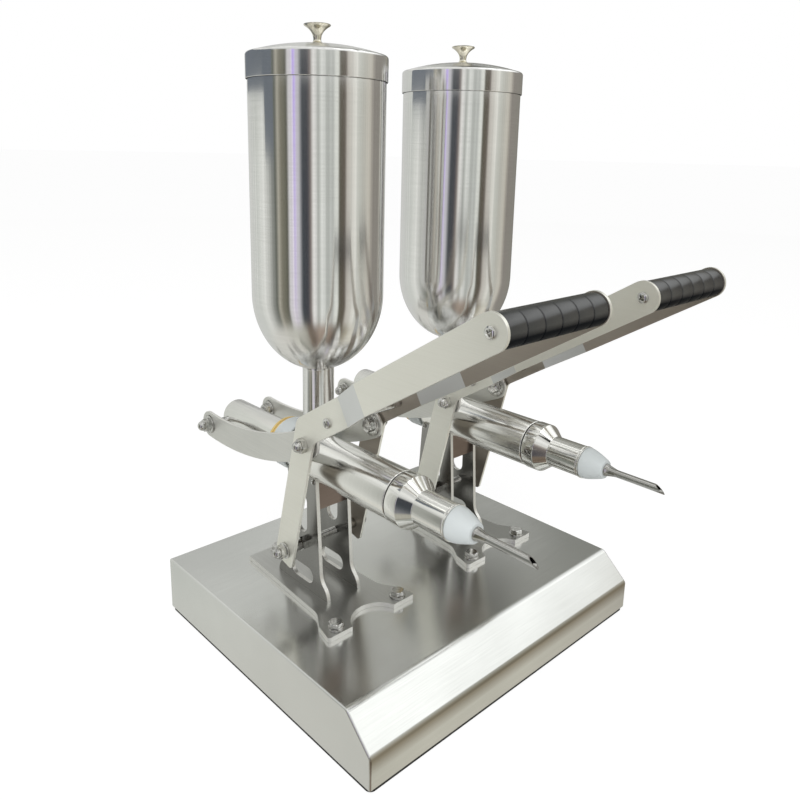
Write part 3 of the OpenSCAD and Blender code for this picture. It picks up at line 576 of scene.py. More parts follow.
# %% Folded base box
def base_box():
    """The folded sheet, open underneath. Its long folds are rounder than its corners."""
    bm, lip = open_box()
    weight = bm.edges.layers.float.new("bevel_weight_edge")
    for edge in bm.edges:
        a, b = edge.verts
        if len(edge.link_faces) == 2 and not (a in lip or b in lip):
            along_fold = abs(a.co.x - b.co.x) > base_high.x
            long_fold = along_fold and a.co.z > base_low.z + MM
            edge[weight] = 1.0 if long_fold else CORNER_SHARE
    mesh = bpy.data.meshes.new("base_box")
    bm.to_mesh(mesh)
    bm.free()
    piece = show("base_box", mesh, base_steel)
    folds = piece.modifiers.new("folds", "BEVEL")
    folds.limit_method = "WEIGHT"
    folds.width = FOLD_R
    folds.segments = 5
    wall = piece.modifiers.new("wall", "SOLIDIFY")
    wall.thickness = SHEET
    wall.offset = -1
    even = piece.modifiers.new("even", "WEIGHTED_NORMAL")
    even.keep_sharp = True
    return plain(piece)


print("folds with a radius of", FOLD_R)

# %% [markdown]
# Just below its fold the front face mirrors the dark front of the table. Real surroundings would do
# that by themselves, but plain ones don't, so the finish is darkened there. Two ranges find the
# place, near the front and close under the fold, and their product is how much of the tint shows.

# %% Shade under the fold, and the base in place
SHADE_H = 17 * MM
FOLD_CLEAR = 2 * MM
FACE_FROM, FACE_TO = 0.3 * MM, 2.4 * MM
SHADE = (0.42, 0.36, 0.28, 1)


def shade_under_fold(material):
    """Darkens a finish on the front face, most of all just below its fold."""
    tree = material.node_tree
    shader = tree.nodes["Principled BSDF"]
    place = place_of(tree)
    front = base_low.y
    near_front = ranged(tree, place["Y"], front + FACE_FROM, front + FACE_TO, 1, 0)
    below_fold = ranged(tree, place["Z"], FRONT_H - SHADE_H, FRONT_H - FOLD_CLEAR, 0, 1)
    both = tree.nodes.new("ShaderNodeMath")
    both.operation = "MULTIPLY"
    tree.links.new(near_front, both.inputs[0])
    tree.links.new(below_fold, both.inputs[1])
    tint = tree.nodes.new("ShaderNodeMix")
    tint.data_type = "RGBA"
    tint.blend_type = "MULTIPLY"
    tint.inputs["B"].default_value = SHADE
    old = shader.inputs["Base Color"].links[0].from_socket
    tree.links.new(both.outputs[0], tint.inputs["Factor"])
    tree.links.new(old, tint.inputs["A"])
    tree.links.new(tint.outputs["Result"], shader.inputs["Base Color"])


def refinish(node, finish):
    """Gives a frame node that stays in the scene its finish."""
    nodes[node].data.materials.clear()
    nodes[node].data.materials.append(finish)


shade_under_fold(base_steel)
settle(base_box(), "frame", "brushed_steel", "base_shell")
refinish("base_ribs", cheek_steel)
refinish("base_trim", black_rubber)
print("base in place, with its ribs and its rubber trim")

# %% [markdown]
# ## Bent and cut sheets
# Brackets, cheeks, levers and links are laser cut, so their faces are flat and their outlines are
# already exact in the frame. Drawing them again could only make them worse. What is missing is the
# burr-free edge, and the copy with rounded edges adds it.

# %% Sheet pieces of both heads
FLAT = 0.9
UNBENT = 0.9995
SHEETS = {
    "bracket_plate": ("frame", "polished_steel", plate_steel, 0.7 * MM, cut_edge_highlight_steel),
    "cheek_plates": ("frame", "dark_steel", cheek_steel, 0.5 * MM, cut_edge_highlight_steel),
    "cradle_plate": ("frame", "dark_steel", cradle_steel, 0.4 * MM, cradle_steel),
    "links": ("link", "brushed_steel", link_steel, 0.5 * MM, cut_edge_highlight_steel),
    "lever_plates": ("lever", "brushed_steel", lever_steel, 0.5 * MM, lever_steel),
}


def mark_lever_faces(piece, x):
    """Slanted strips get the steel with the painted reflection, and faces that look inwards the one
    with painted shade.
    """
    piece.data.materials.append(fold_reflection_steel)
    piece.data.materials.append(inner_shade_steel)
    for face in piece.data.polygons:
        out = face.center.x - x
        if FLAT < abs(face.normal.x) < UNBENT:
            face.material_index = 2
        elif face.normal.x * out < -FLAT * abs(out):
            face.material_index = 3


for side, x in SIDES.items():
    for node, (body, slot, finish, edge, cut_finish) in SHEETS.items():
        piece = sheet_copy(f"{side}_{node}", f"{side}_{node}_sheet", finish, edge, cut_finish)
        if node == "lever_plates":
            mark_lever_faces(piece, x)
        rider = body if body == "frame" else f"{side}_{body}"
        settle(piece, rider, slot, f"{side}_{node}")
print("sheets:", 2 * len(SHEETS))

# %% [markdown]
# ## Hopper, neck and lid
# The hopper is spun from sheet over a former: a round bowl below and a straight wall above. A tube
# is welded under it as its neck. A cylinder with a sphere could stand in for it, but their seam
# would show in the reflections, while one outline turned about the axis runs smoothly from bowl to
# wall.

# %% Hopper
HOPPER_WALL = 1.2 * MM
NECK_WALL = 1.5 * MM
BOWL_H = 78 * MM
hopper_low, hopper_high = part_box("left_hopper")
neck_low, neck_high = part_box("left_neck")
hopper_r = (hopper_high.x - hopper_low.x) / 2
neck_r = (neck_high.x - neck_low.x) / 2
bowl_top = hopper_low.z + BOWL_H * math.sqrt(1 - (neck_r / hopper_r) ** 2)


def bowl_line(radius, neck, high, steps=30):
    """The bowl's wall from its mouth up to where it stands upright."""
    start = math.asin(neck / radius)
    bend = [start + (math.pi / 2 - start) * i / steps for i in range(steps + 1)]
    return [(radius * math.sin(a), bowl_top - high * math.cos(a)) for a in bend]


def hopper_outline():
    """Outer wall up, round the rim, inner wall down."""
    rim = hopper_high.z
    inner_r = hopper_r - HOPPER_WALL
    levels = [bowl_top + (rim - bowl_top) * i / 6 for i in range(1, 6)]
    outer = bowl_line(hopper_r, neck_r, BOWL_H) + [(hopper_r, h) for h in levels]
    edge = [(hopper_r, rim - 1.1 * MM), (hopper_r - 0.25 * MM, rim - 0.6 * MM),
            (hopper_r - 0.6 * MM, rim - 0.25 * MM), (hopper_r - 1.0 * MM, rim),
            (inner_r, rim - 0.1 * MM)]
    inner = [(inner_r, h) for h in reversed(levels)]
    inner += bowl_line(inner_r, neck_r - NECK_WALL, BOWL_H - HOPPER_WALL)[::-1]
    return outer + edge + inner


print("hopper radius", round(hopper_r, 4), "rim at", round(hopper_high.z, 4))

# %% [markdown]
# The neck stands on a round barrel, so its foot isn't level but follows the barrel like a saddle. A
# Boolean cut could give that, with untidy faces at the seam. Here the tube is turned with a level
# foot, and each low point is then set to the barrel's height at its own distance from the middle.

# %% Neck
WELD = 0.9 * MM
SADDLE_BEND = 27 * MM
SADDLE_TOP = 28.2 * MM
SADDLE_REACH = 30 * MM


def neck_outline():
    """Saddle with a weld, tube, weld under the hopper, and the bore."""
    top = hopper_low.z
    bore = neck_r - NECK_WALL
    return [(neck_r + WELD, barrel_z), (neck_r + WELD, barrel_z + barrel_r),
            (neck_r + 0.6 * WELD, barrel_z + SADDLE_BEND), (neck_r, barrel_z + SADDLE_TOP),
            (neck_r, top - 2.6 * MM), (neck_r + 0.35 * MM, top - 1.4 * MM),
            (neck_r + 0.5 * MM, top - 0.7 * MM), (neck_r + 0.2 * MM, top - 0.1 * MM),
            (bore, neck_high.z), (bore, barrel_z)]


def neck_mesh(name, x):
    """The neck tube with a soft weld at each end and a foot that follows the barrel."""
    mesh = turned_mesh(name, neck_outline(), upright(x, stand_y, 0), steps=96, closed=True)
    for v in mesh.vertices:
        if v.co.z < barrel_z + barrel_r + 0.01 * MM:
            rise = math.sqrt((barrel_r + 0.08 * MM) ** 2 - (v.co.x - x) ** 2)
            lift = 1.0 * MM if v.co.z > barrel_z + MM else 0
            v.co.z = barrel_z + rise + lift
        elif v.co.z < barrel_z + SADDLE_REACH:
            rise = math.sqrt(barrel_r ** 2 - (v.co.x - x) ** 2)
            v.co.z += rise - barrel_r + 0.6 * MM
    return mesh


for side, x in SIDES.items():
    wall = turned(f"{side}_hopper_wall", hopper_outline(), upright(x, stand_y, 0), hopper_steel,
                  128, closed=True)
    settle(wall, "frame", "polished_steel", f"{side}_hopper")
    neck = show(f"{side}_neck_tube", neck_mesh(f"{side}_neck_tube", x), hopper_steel, 50)
    settle(neck, "frame", "polished_steel", f"{side}_neck")
print("neck from", round(barrel_z + barrel_r, 4), "to", round(hopper_low.z, 4))

# %% [markdown]
# The lid is a loose cover: a skirt, a rounded shoulder and a shallow dome. The dome is an arc that
# meets the shoulder without a kink, and the angle where they meet follows from the two heights.

# %% Lid
LID_WALL = 1.2 * MM
DOME_H = 9.5 * MM
SHOULDER_R, INNER_SHOULDER_R = 3 * MM, 1.8 * MM
lid_low, lid_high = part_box("left_lid")
lid_r = (lid_high.x - lid_low.x) / 2


def lid_face(radius, shoulder, top, corner):
    """Shoulder and dome of one face of the lid, from the skirt to the middle."""
    half = radius - corner
    spread = math.atan2(2 * (top - shoulder) * half, half ** 2 - (top - shoulder) ** 2)
    dome_r = half / math.sin(spread)
    turns = [(math.pi / 2 - spread) * i / 8 for i in range(9)]
    bend = [(half + corner * math.cos(a), shoulder - corner + corner * math.sin(a)) for a in turns]
    dome = [(dome_r * math.sin(spread * i / 12), top - dome_r * (1 - math.cos(spread * i / 12)))
            for i in range(11, -1, -1)]
    return bend + dome


def lid_outline():
    """Skirt, rounded shoulder and shallow dome, then back along the inside."""
    edge = lid_high.z - DOME_H
    inner_r = lid_r - LID_WALL
    outside = [(lid_r - 0.4 * MM, lid_low.z), (lid_r, lid_low.z + 0.4 * MM)]
    outside += lid_face(lid_r, edge, lid_high.z, SHOULDER_R)
    inside = [(inner_r, lid_low.z)]
    inside += lid_face(inner_r, edge - LID_WALL, lid_high.z - LID_WALL, INNER_SHOULDER_R)
    return outside + inside[::-1]


print("lid radius", round(lid_r, 4))

# %% Knob, and both lids in place
KNOB_H = 18.5 * MM
knob_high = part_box("left_lid_knob")[1]


def knob_outline():
    """A trumpet: a small foot, a thin stem and a flare, as radius and height in millimetres."""
    foot = knob_high.z - KNOB_H
    stem = [(5.4, 0), (5.3, 0.7), (4.4, 1.5), (3.8, 2.4), (3.6, 4.0)]
    flare = [(3.8, 5.6), (4.2, 7.4), (5.0, 9.2), (6.2, 11.0), (7.9, 12.8), (10.0, 14.4),
             (12.0, 15.6)]
    rim = [(12.6, 16.3), (12.55, 16.9), (12.0, 17.3), (10.6, 17.6), (7.0, 18.1), (3.2, 18.4)]
    shape = [(r * MM, foot + h * MM) for r, h in stem + flare + rim]
    return [(0, foot)] + shape + [(0, knob_high.z)]


for side, x in SIDES.items():
    cap = show(f"{side}_lid_cap", turned_mesh(f"{side}_lid_cap", lid_outline(),
                                              upright(x, stand_y, 0), steps=128), hopper_steel, 40)
    settle(cap, f"{side}_cover", "polished_steel", f"{side}_lid")
    knob = turned(f"{side}_knob", knob_outline(), upright(x, stand_y, 0), knob_steel, 48)
    settle(knob, f"{side}_cover", "polished_steel", f"{side}_lid_knob")
print("knob top at", round(knob_high.z, 4))

# %% [markdown]
# ## Barrel, filling head and needle
# These are lathe work, so each one is an outline turned about the axis of the barrel, as the lathe
# does it. Joined cylinders and cones would need their corners softened afterwards, while an outline
# can be softened before it turns.

# %% Outline of the filling head
HEAD_BODY = 15 * MM
HEAD_CONE = 12 * MM
HEAD_R = 26 * MM
HEAD_EDGE = 0.9 * MM
NOSE_R = 16.5 * MM
NOSE_LEN = 39 * MM
NOSE_WALL = 3 * MM
BEAD = 2.2 * MM
SPIGOT = 14 * MM
BARREL_WALL = 3 * MM
bore_r = barrel_r - BARREL_WALL
head_len = HEAD_BODY + HEAD_CONE + NOSE_LEN


def head_outline():
    """Spigot, body, cone, nose tube with a groove and a bead, then the bore."""
    cone_end = HEAD_BODY + HEAD_CONE
    bead = head_len - BEAD
    step = 0.6 * MM
    body = [(bore_r - AIR, -SPIGOT), (bore_r - AIR, 0), (HEAD_R - HEAD_EDGE, 0),
            (HEAD_R, HEAD_EDGE), (HEAD_R, HEAD_BODY)]
    nose = [(NOSE_R, cone_end), (NOSE_R, bead - 2 * step), (NOSE_R - step, bead - step),
            (NOSE_R - step, bead), (NOSE_R + step, bead), (NOSE_R + step, head_len)]
    bore = [(NOSE_R - NOSE_WALL, head_len), (NOSE_R - NOSE_WALL, cone_end),
            (bore_r - 3 * MM, HEAD_BODY - 1.5 * MM), (bore_r - 3 * MM, -SPIGOT)]
    return soft(body + nose + bore, 0.5 * MM, 3, closed=True)


print("head", round(head_len, 4), "long")

# %% Barrel, head and the seam between them
SEAM = 1.2 * MM
barrel_front, barrel_back = barrel_low.y, barrel_high.y
barrel_len = barrel_back - barrel_front
head_seam = barrel_front - SEAM
nose_end = head_seam - head_len
tube = soft([(bore_r, 0), (barrel_r - HEAD_EDGE, 0), (barrel_r, HEAD_EDGE), (barrel_r, barrel_len),
             (bore_r, barrel_len)], 0.4 * MM, 3, closed=True)
seam_r = barrel_r - 0.1 * MM
ring = soft([(bore_r, AIR), (seam_r, AIR), (seam_r, SEAM - AIR), (bore_r, SEAM - AIR)],
            0.3 * MM, 3, closed=True)
for side, x in SIDES.items():
    piece = turned(f"{side}_barrel_tube", tube, backward(x, barrel_front, barrel_z), barrel_steel,
                   96, closed=True)
    settle(piece, "frame", "polished_steel", f"{side}_barrel")
    piece = turned(f"{side}_filling_head", head_outline(), forward(x, head_seam, barrel_z),
                   head_steel, 96, closed=True)
    settle(piece, "frame", "polished_steel", f"{side}_head")
    piece = turned(f"{side}_seam", ring, forward(x, barrel_front, barrel_z), black_rubber, 72,
                   closed=True)
    settle(piece, "frame", "black_rubber", f"{side}_seam_ring")
print("head ends at", round(nose_end, 4))

# %% [markdown]
# The nozzle is milky plastic, a little rounder than a cone. The needle's tip is cut at a slant, so
# that it pricks a pastry: after turning, the points of its last rings slide back in step with their
# height. That keeps the faces even, which a Boolean cut wouldn't.

# %% Nozzle
NOZZLE_R = 16.5 * MM
NOZZLE_TIP_R = 9.5 * MM
NOZZLE_LEN = 23.5 * MM
NOZZLE_BORE = 6.05 * MM
NOZZLE_SHELF = 14 * MM
NOZZLE_SPIGOT = 10 * MM
RIM = 2 * MM


def nozzle_outline():
    """A rim, a slightly bulging cone, and a rounded mouth round the needle."""
    cone = [(NOZZLE_R - (NOZZLE_R - NOZZLE_TIP_R) * (i / 12) ** 1.3,
             RIM + (NOZZLE_LEN - RIM) * i / 12) for i in range(12)]
    mouth = [(NOZZLE_TIP_R + 0.3 * MM, NOZZLE_LEN - 0.9 * MM),
             (NOZZLE_TIP_R, NOZZLE_LEN - 0.3 * MM), (NOZZLE_TIP_R - 0.6 * MM, NOZZLE_LEN)]
    chamber = NOSE_R - NOSE_WALL - 4.05 * MM
    spigot = NOSE_R - NOSE_WALL - AIR
    shelf = NOZZLE_LEN - NOZZLE_SHELF
    bore = [(NOZZLE_BORE, NOZZLE_LEN), (NOZZLE_BORE, shelf), (chamber, shelf),
            (chamber, -NOZZLE_SPIGOT), (spigot, -NOZZLE_SPIGOT), (spigot, 0),
            (NOZZLE_R - 0.6 * MM, 0), (NOZZLE_R, 0.6 * MM)]
    return cone + mouth + bore


print("nozzle", round(NOZZLE_LEN, 4), "long")

# %% Needle, and both nozzles and needles in place
NEEDLE_R = 3.75 * MM
NEEDLE_BORE = 2.75 * MM
NEEDLE_LEN = 65 * MM
NEEDLE_FOOT = 18 * MM
NEEDLE_FOOT_R = 6.0 * MM
NEEDLE_CUT = 11 * MM
NEEDLE_TURN = math.radians(15)


def needle_mesh(name, x):
    """The needle, then the slant of its tip."""
    tip = NOZZLE_LEN + NEEDLE_LEN
    foot = NOZZLE_LEN - NEEDLE_FOOT
    cone = [(6.5 * MM, 1.2 * MM), (6.3 * MM, 1.7 * MM), (5.6 * MM, 4 * MM), (4.9 * MM, 7 * MM),
            (4.3 * MM, 10 * MM), (NEEDLE_R + 0.1 * MM, 12 * MM), (NEEDLE_R, 14 * MM)]
    outline = [(NEEDLE_BORE, foot), (NEEDLE_FOOT_R, foot), (NEEDLE_FOOT_R, NOZZLE_LEN),
               (6.5 * MM, NOZZLE_LEN)]
    outline += [(r, NOZZLE_LEN + z) for r, z in cone]
    outline += [(NEEDLE_R, tip - NEEDLE_CUT), (NEEDLE_R, tip), (NEEDLE_BORE, tip),
                (NEEDLE_BORE, tip - NEEDLE_CUT)]
    mesh = turned_mesh(name, outline, forward(x, nose_end, barrel_z), 40, closed=True)
    for v in mesh.vertices:
        if v.co.y < nose_end - tip + MM:
            up, across = v.co.z - barrel_z, v.co.x - x
            high = up * math.cos(NEEDLE_TURN) + across * math.sin(NEEDLE_TURN)
            v.co.y += NEEDLE_CUT * (high / NEEDLE_R + 1) / 2
    return mesh


for side, x in SIDES.items():
    piece = turned(f"{side}_milky_nozzle", nozzle_outline(), forward(x, nose_end, barrel_z),
                   milky_plastic, 72, closed=True)
    settle(piece, "frame", "white_plastic", f"{side}_nozzle")
    needle = needle_mesh(f"{side}_filling_needle", x)
    piece = show(f"{side}_filling_needle", needle, needle_steel)
    settle(piece, "frame", "polished_steel", f"{side}_needle")
print("needle tip at", round(nose_end - NOZZLE_LEN - NEEDLE_LEN, 4))

# %% [markdown]
# ## Piston rod, end cup and brass ring
# The rod is a thick polished tube with a plugged end. A white plastic cup closes the barrel and
# guides the rod, and a brass ring with one groove sits behind it. All three are turned like the
# barrel. Their lengths and the radii of the cup and the ring come from the frame, and only the
# rod's radius and the small sizes are written here.

# %% Outlines of the rod, the cup and the ring
ROD_R = 18 * MM
CUP_DEPTH = 5.9 * MM
RING_GROOVE = 0.8 * MM
rod_low, rod_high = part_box("left_piston_rod")
rod_len = rod_high.y - rod_low.y
cup_low, cup_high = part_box("left_gland")
cup_r = (cup_high.x - cup_low.x) / 2
cup_len = cup_high.y - cup_low.y
ring_low, ring_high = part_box("left_gland_ring")
ring_r = (ring_high.x - ring_low.x) / 2
ring_len = ring_high.y - ring_low.y
ring_mid = ring_len / 2
rod_hole = ROD_R + AIR
rod_outline = [(0, 0), (ROD_R - 0.5 * MM, 0), (ROD_R, 0.5 * MM), (ROD_R, rod_len - 1.2 * MM),
               (ROD_R - 0.4 * MM, rod_len - 0.3 * MM), (ROD_R - 1.2 * MM, rod_len),
               (ROD_R - 3 * MM, rod_len), (ROD_R - 3.3 * MM, rod_len - 0.8 * MM),
               (0, rod_len - 0.8 * MM)]
cup_outline = soft([(barrel_r + AIR, 0), (cup_r, 0), (cup_r, cup_len), (rod_hole, cup_len),
                    (rod_hole, cup_len - CUP_DEPTH), (barrel_r + AIR, cup_len - CUP_DEPTH)],
                   0.8 * MM, 4, closed=True)
ring_outline = soft([(rod_hole, 0), (ring_r, 0), (ring_r, ring_mid),
                     (ring_r - RING_GROOVE, ring_mid),
                     (ring_r - RING_GROOVE, ring_mid + RING_GROOVE),
                     (ring_r, ring_mid + RING_GROOVE), (ring_r, ring_len), (rod_hole, ring_len)],
                    0.25 * MM, 2, closed=True)
print("rod", round(rod_len, 4), "long, cup radius", round(cup_r, 4))

# %% Rod, cup and ring in place
for side, x in SIDES.items():
    piece = turned(f"{side}_rod_tube", rod_outline, backward(x, rod_low.y, barrel_z),
                   barrel_steel, 72)
    settle(piece, f"{side}_plunger", "polished_steel", f"{side}_piston_rod")
    piece = turned(f"{side}_end_cup", cup_outline, backward(x, cup_low.y, barrel_z),
                   milky_plastic, 72, closed=True)
    settle(piece, "frame", "white_plastic", f"{side}_gland")
    piece = turned(f"{side}_brass_ring", ring_outline, backward(x, ring_low.y, barrel_z), brass,
                   72, closed=True)
    settle(piece, "frame", "brass", f"{side}_gland_ring")
    refinish(f"{side}_piston", milky_plastic)
    refinish(f"{side}_piston_seals", black_rubber)
print("rods, cups and rings of", list(SIDES))

# %% [markdown]
# ## Grip
# The black grip is a moulded tube with grooves round it, so that a floury hand doesn't slip. A bump
# in the finish would fade at the outline, where a groove is seen best, so the grooves are real. The
# outline walks along the grip and dips at each groove.

# %% Grip
GROOVES = 5
GROOVE_DEPTH = 0.8 * MM
GROOVE_TOP, GROOVE_FLOOR = 0.7 * MM, 0.25 * MM
grip_low, grip_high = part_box("left_grip")
grip_r = (grip_high.z - grip_low.z) / 2
grip_half = (grip_high.x - grip_low.x) / 2


def grip_outline():
    """A long soft-ended tube with even grooves."""
    points = [(0, -grip_half), (grip_r, -grip_half)]
    step = 2 * grip_half / (GROOVES + 1)
    floor_r = grip_r - GROOVE_DEPTH
    for i in range(1, GROOVES + 1):
        at = -grip_half + i * step
        points += [(grip_r, at - GROOVE_TOP), (floor_r, at - GROOVE_FLOOR),
                   (floor_r, at + GROOVE_FLOOR), (grip_r, at + GROOVE_TOP)]
    points += [(grip_r, grip_half), (0, grip_half)]
    return soft(points, 0.7 * MM, 4)


for side, x in SIDES.items():
    piece = turned(f"{side}_hand_grip", grip_outline(), sideways(x, grip_at), black_grip, 72)
    settle(piece, f"{side}_lever", "black_plastic", f"{side}_grip")
print("grip", round(2 * grip_half, 4), "long")

# %% [markdown]
# ## Fasteners
# The same few fasteners return dozens of times, which is work for Geometry Nodes. Each kind is
# made once. A cloud of points then says where each one sits and how it is turned, and a small tree
# puts a copy on every point, makes the copies real and gives them their finish.
#
# A hexagon head is a prism whose corners the lathe has turned away, so it is made like that: a
# six-sided prism and a cone, and only what they share is kept.

# %% Hexagons
FLATS = 13 * MM
HEX_R = FLATS / math.sqrt(3)
BOLT_R = 4 * MM
HEAD_H, NUT_H = 5.3 * MM, 6.5 * MM
FACE_R = 0.47 * FLATS


def cut(one, other, way):
    """Joins, cuts or keeps what two meshes share."""
    a = show("work_a", one, fastener_steel)
    b = show("work_b", other, fastener_steel)
    step = a.modifiers.new("cut", "BOOLEAN")
    step.operation = way
    step.solver = "EXACT"
    step.object = b
    plain(a)
    mesh = a.data
    bpy.data.objects.remove(a)
    bpy.data.objects.remove(b)
    return mesh


def hexagon(height, hole=None):
    """A hexagon whose upper corners are turned away."""
    prism = turned_mesh("hexagon", [(0, 0), (HEX_R, 0), (HEX_R, height), (0, height)], steps=6)
    slope = (HEX_R + MM - FACE_R) * math.tan(math.radians(28))
    cone = turned_mesh("cone", [(0, -MM), (HEX_R + MM, -MM), (HEX_R + MM, height - slope),
                                (FACE_R, height), (0, height)], steps=48)
    body = cut(prism, cone, "INTERSECT")
    if hole:
        drill_line = [(0, -MM), (hole, -MM), (hole, height + MM), (0, height + MM)]
        body = cut(body, turned_mesh("drill", drill_line, steps=32), "DIFFERENCE")
    return body


print("hexagons", round(FLATS, 4), "across flats")

# %% Cap nut and washer
CAP_R = 0.44 * FLATS
CAP_RISE = 0.42 * FLATS
CAP_SHOULDER = 7.2 * MM
WASHER = 1.6 * MM


def cap_nut_mesh():
    """A hexagon with a round cap on it."""
    cap = [(0, 1 * MM), (CAP_R, 1 * MM), (CAP_R, CAP_SHOULDER)]
    cap += [(CAP_R * math.cos(a), CAP_SHOULDER + CAP_RISE * math.sin(a))
            for a in (math.radians(d) for d in range(15, 90, 15))]
    cap.append((0, CAP_SHOULDER + CAP_RISE))
    return cut(hexagon(NUT_H), turned_mesh("cap", cap, steps=40), "UNION")


def washer_mesh(radius, name):
    """A flat washer with soft edges."""
    line = soft([(BOLT_R, 0), (radius, 0), (radius, WASHER), (BOLT_R, WASHER)], 0.3 * MM, 2,
                closed=True)
    return turned_mesh(name, line, steps=40, closed=True)


print("cap nut", round(CAP_SHOULDER + CAP_RISE, 4), "high")

# %% Pan screw with a crossed recess
def recess(radius, height, turn_by):
    """One bar of the crossed recess, wide above and narrow below."""
    bm = bmesh.new()
    bmesh.ops.create_cube(bm, size=1.0)
    for v in bm.verts:
        tall = v.co.z > 0
        v.co = Vector((v.co.x * radius * (1.3 if tall else 0.7),
                       v.co.y * radius * (0.34 if tall else 0.16),
                       height * (1.2 if tall else 0.35)))
    bmesh.ops.rotate(bm, verts=bm.verts, matrix=Matrix.Rotation(turn_by, 3, "Z"))
    mesh = bpy.data.meshes.new("cross")
    bm.to_mesh(mesh)
    bm.free()
    return mesh


def pan_screw_mesh(radius, height, name):
    """A domed head with a crossed recess."""
    dome = [(0, 0), (radius, 0), (radius, 0.3 * height)]
    dome += [(radius * math.cos(a), height * (0.3 + 0.7 * math.sin(a)))
             for a in (math.radians(d) for d in range(15, 90, 15))]
    dome.append((0, height))
    head = turned_mesh(name, dome, steps=32)
    for turn_by in (0, math.pi / 2):
        head = cut(head, recess(radius, height, turn_by), "DIFFERENCE")
    return head


print("pan screws get a crossed recess")

# %% One of each fastener
MODELS = {
    "bolt_head": hexagon(HEAD_H),
    "nut": hexagon(NUT_H, BOLT_R),
    "cap_nut": cap_nut_mesh(),
    "washer": washer_mesh(8.5 * MM, "washer"),
    "wide_washer": washer_mesh(12 * MM, "wide_washer"),
    "eye_washer": washer_mesh(10.5 * MM, "eye_washer"),
    "pan_screw": pan_screw_mesh(5 * MM, 3 * MM, "pan_screw"),
    "small_screw": pan_screw_mesh(3 * MM, 2 * MM, "small_screw"),
}
print("fasteners:", {name: len(mesh.polygons) for name, mesh in MODELS.items()})

# %% [markdown]
# The tree has four inputs: the points, the fastener, its size and its finish. Instance on Points
# sets the copies down, and a named attribute on the points turns each one. Nothing in it is random.
# An export drops instances, so Realize Instances makes them mesh before the finish is set.

# %% The tree that places fasteners
def placing_tree():
    """Group: a copy of one fastener on every point, turned by the point's own angles."""
    tree = bpy.data.node_groups.new("place_fasteners", "GeometryNodeTree")
    face = tree.interface
    face.new_socket("Points", in_out="INPUT", socket_type="NodeSocketGeometry")
    face.new_socket("Fastener", in_out="INPUT", socket_type="NodeSocketObject")
    face.new_socket("Size", in_out="INPUT", socket_type="NodeSocketFloat").default_value = 1.0
    face.new_socket("Finish", in_out="INPUT", socket_type="NodeSocketMaterial")
    face.new_socket("Placed", in_out="OUTPUT", socket_type="NodeSocketGeometry")
    new = tree.nodes.new
    start, end = new("NodeGroupInput"), new("NodeGroupOutput")
    info, angles = new("GeometryNodeObjectInfo"), new("GeometryNodeInputNamedAttribute")
    angles.data_type = "FLOAT_VECTOR"
    angles.inputs["Name"].default_value = "angles"
    spin = new("FunctionNodeEulerToRotation")
    copies = new("GeometryNodeInstanceOnPoints")
    real = new("GeometryNodeRealizeInstances")
    paint = new("GeometryNodeSetMaterial")
    link = tree.links.new
    link(start.outputs["Points"], copies.inputs["Points"])
    link(start.outputs["Fastener"], info.inputs["Object"])
    link(info.outputs["Geometry"], copies.inputs["Instance"])
    link(start.outputs["Size"], copies.inputs["Scale"])
    link(angles.outputs["Attribute"], spin.inputs["Euler"])
    link(spin.outputs["Rotation"], copies.inputs["Rotation"])
    link(copies.outputs["Instances"], real.inputs["Geometry"])
    link(real.outputs["Geometry"], paint.inputs["Geometry"])
    link(start.outputs["Finish"], paint.inputs["Material"])
    link(paint.outputs["Geometry"], end.inputs["Placed"])
    return tree


PLACING = placing_tree()
SOCKETS = {item.name: item.identifier for item in PLACING.interface.items_tree
           if item.in_out == "INPUT"}
print("placing tree with inputs", list(SOCKETS))

# %% Copies on points, joined into one piece
def placed(name, model, spots):
    """A piece made of copies of one fastener. Each spot is (place, angles)."""
    cloud = bpy.data.meshes.new(name)
    cloud.from_pydata([tuple(place) for place, _ in spots], [], [])
    attribute = cloud.attributes.new("angles", "FLOAT_VECTOR", "POINT")
    for i, (_, angles) in enumerate(spots):
        attribute.data[i].vector = angles
    model_object = show("model", MODELS[model].copy(), fastener_steel, 25)
    piece = bpy.data.objects.new(name, cloud)
    scene.collection.objects.link(piece)
    step = piece.modifiers.new("place", "NODES")
    step.node_group = PLACING
    step[SOCKETS["Fastener"]] = model_object
    step[SOCKETS["Size"]] = 1.0
    step[SOCKETS["Finish"]] = fastener_steel
    plain(piece)
    if piece.data.attributes.get("angles"):
        piece.data.attributes.remove(piece.data.attributes["angles"])
    bpy.data.objects.remove(model_object)
    return piece


def joined(name, pieces):
    """One piece from several."""
    bm = bmesh.new()
    for piece in pieces:
        bm.from_mesh(piece.data)
    mesh = bpy.data.meshes.new(name)
    bm.to_mesh(mesh)
    bm.free()
    finish = pieces[0].data.materials[0]
    for piece in pieces:
        bpy.data.objects.remove(piece)
    return show(name, mesh, finish, 25)


print("models to place:", list(MODELS))

# %% Where fasteners sit and which way they look
UP = (0, 0, 0)


def to_right(roll=0.0):
    """Angles that lay a fastener on its side, head to the right."""
    return (Matrix.Rotation(math.pi / 2, 3, "Y") @ Matrix.Rotation(roll, 3, "Z")).to_euler()


def to_left(roll=0.0):
    """The same with its head to the left."""
    return (Matrix.Rotation(-math.pi / 2, 3, "Y") @ Matrix.Rotation(roll, 3, "Z")).to_euler()


def both_ways(x, reach, place, roll=0.0):
    """The two outward spots at equal distances from a head's middle."""
    return [((x + reach, place[0], place[1]), to_right(roll)),
            ((x - reach, place[0], place[1]), to_left(roll))]


def inward(x, reach, place, roll=0.0):
    """The same spots, turned towards the middle."""
    return [((x + reach, place[0], place[1]), to_left(roll)),
            ((x - reach, place[0], place[1]), to_right(roll))]


print("a fastener on its side is turned by", [round(v, 2) for v in to_right()])

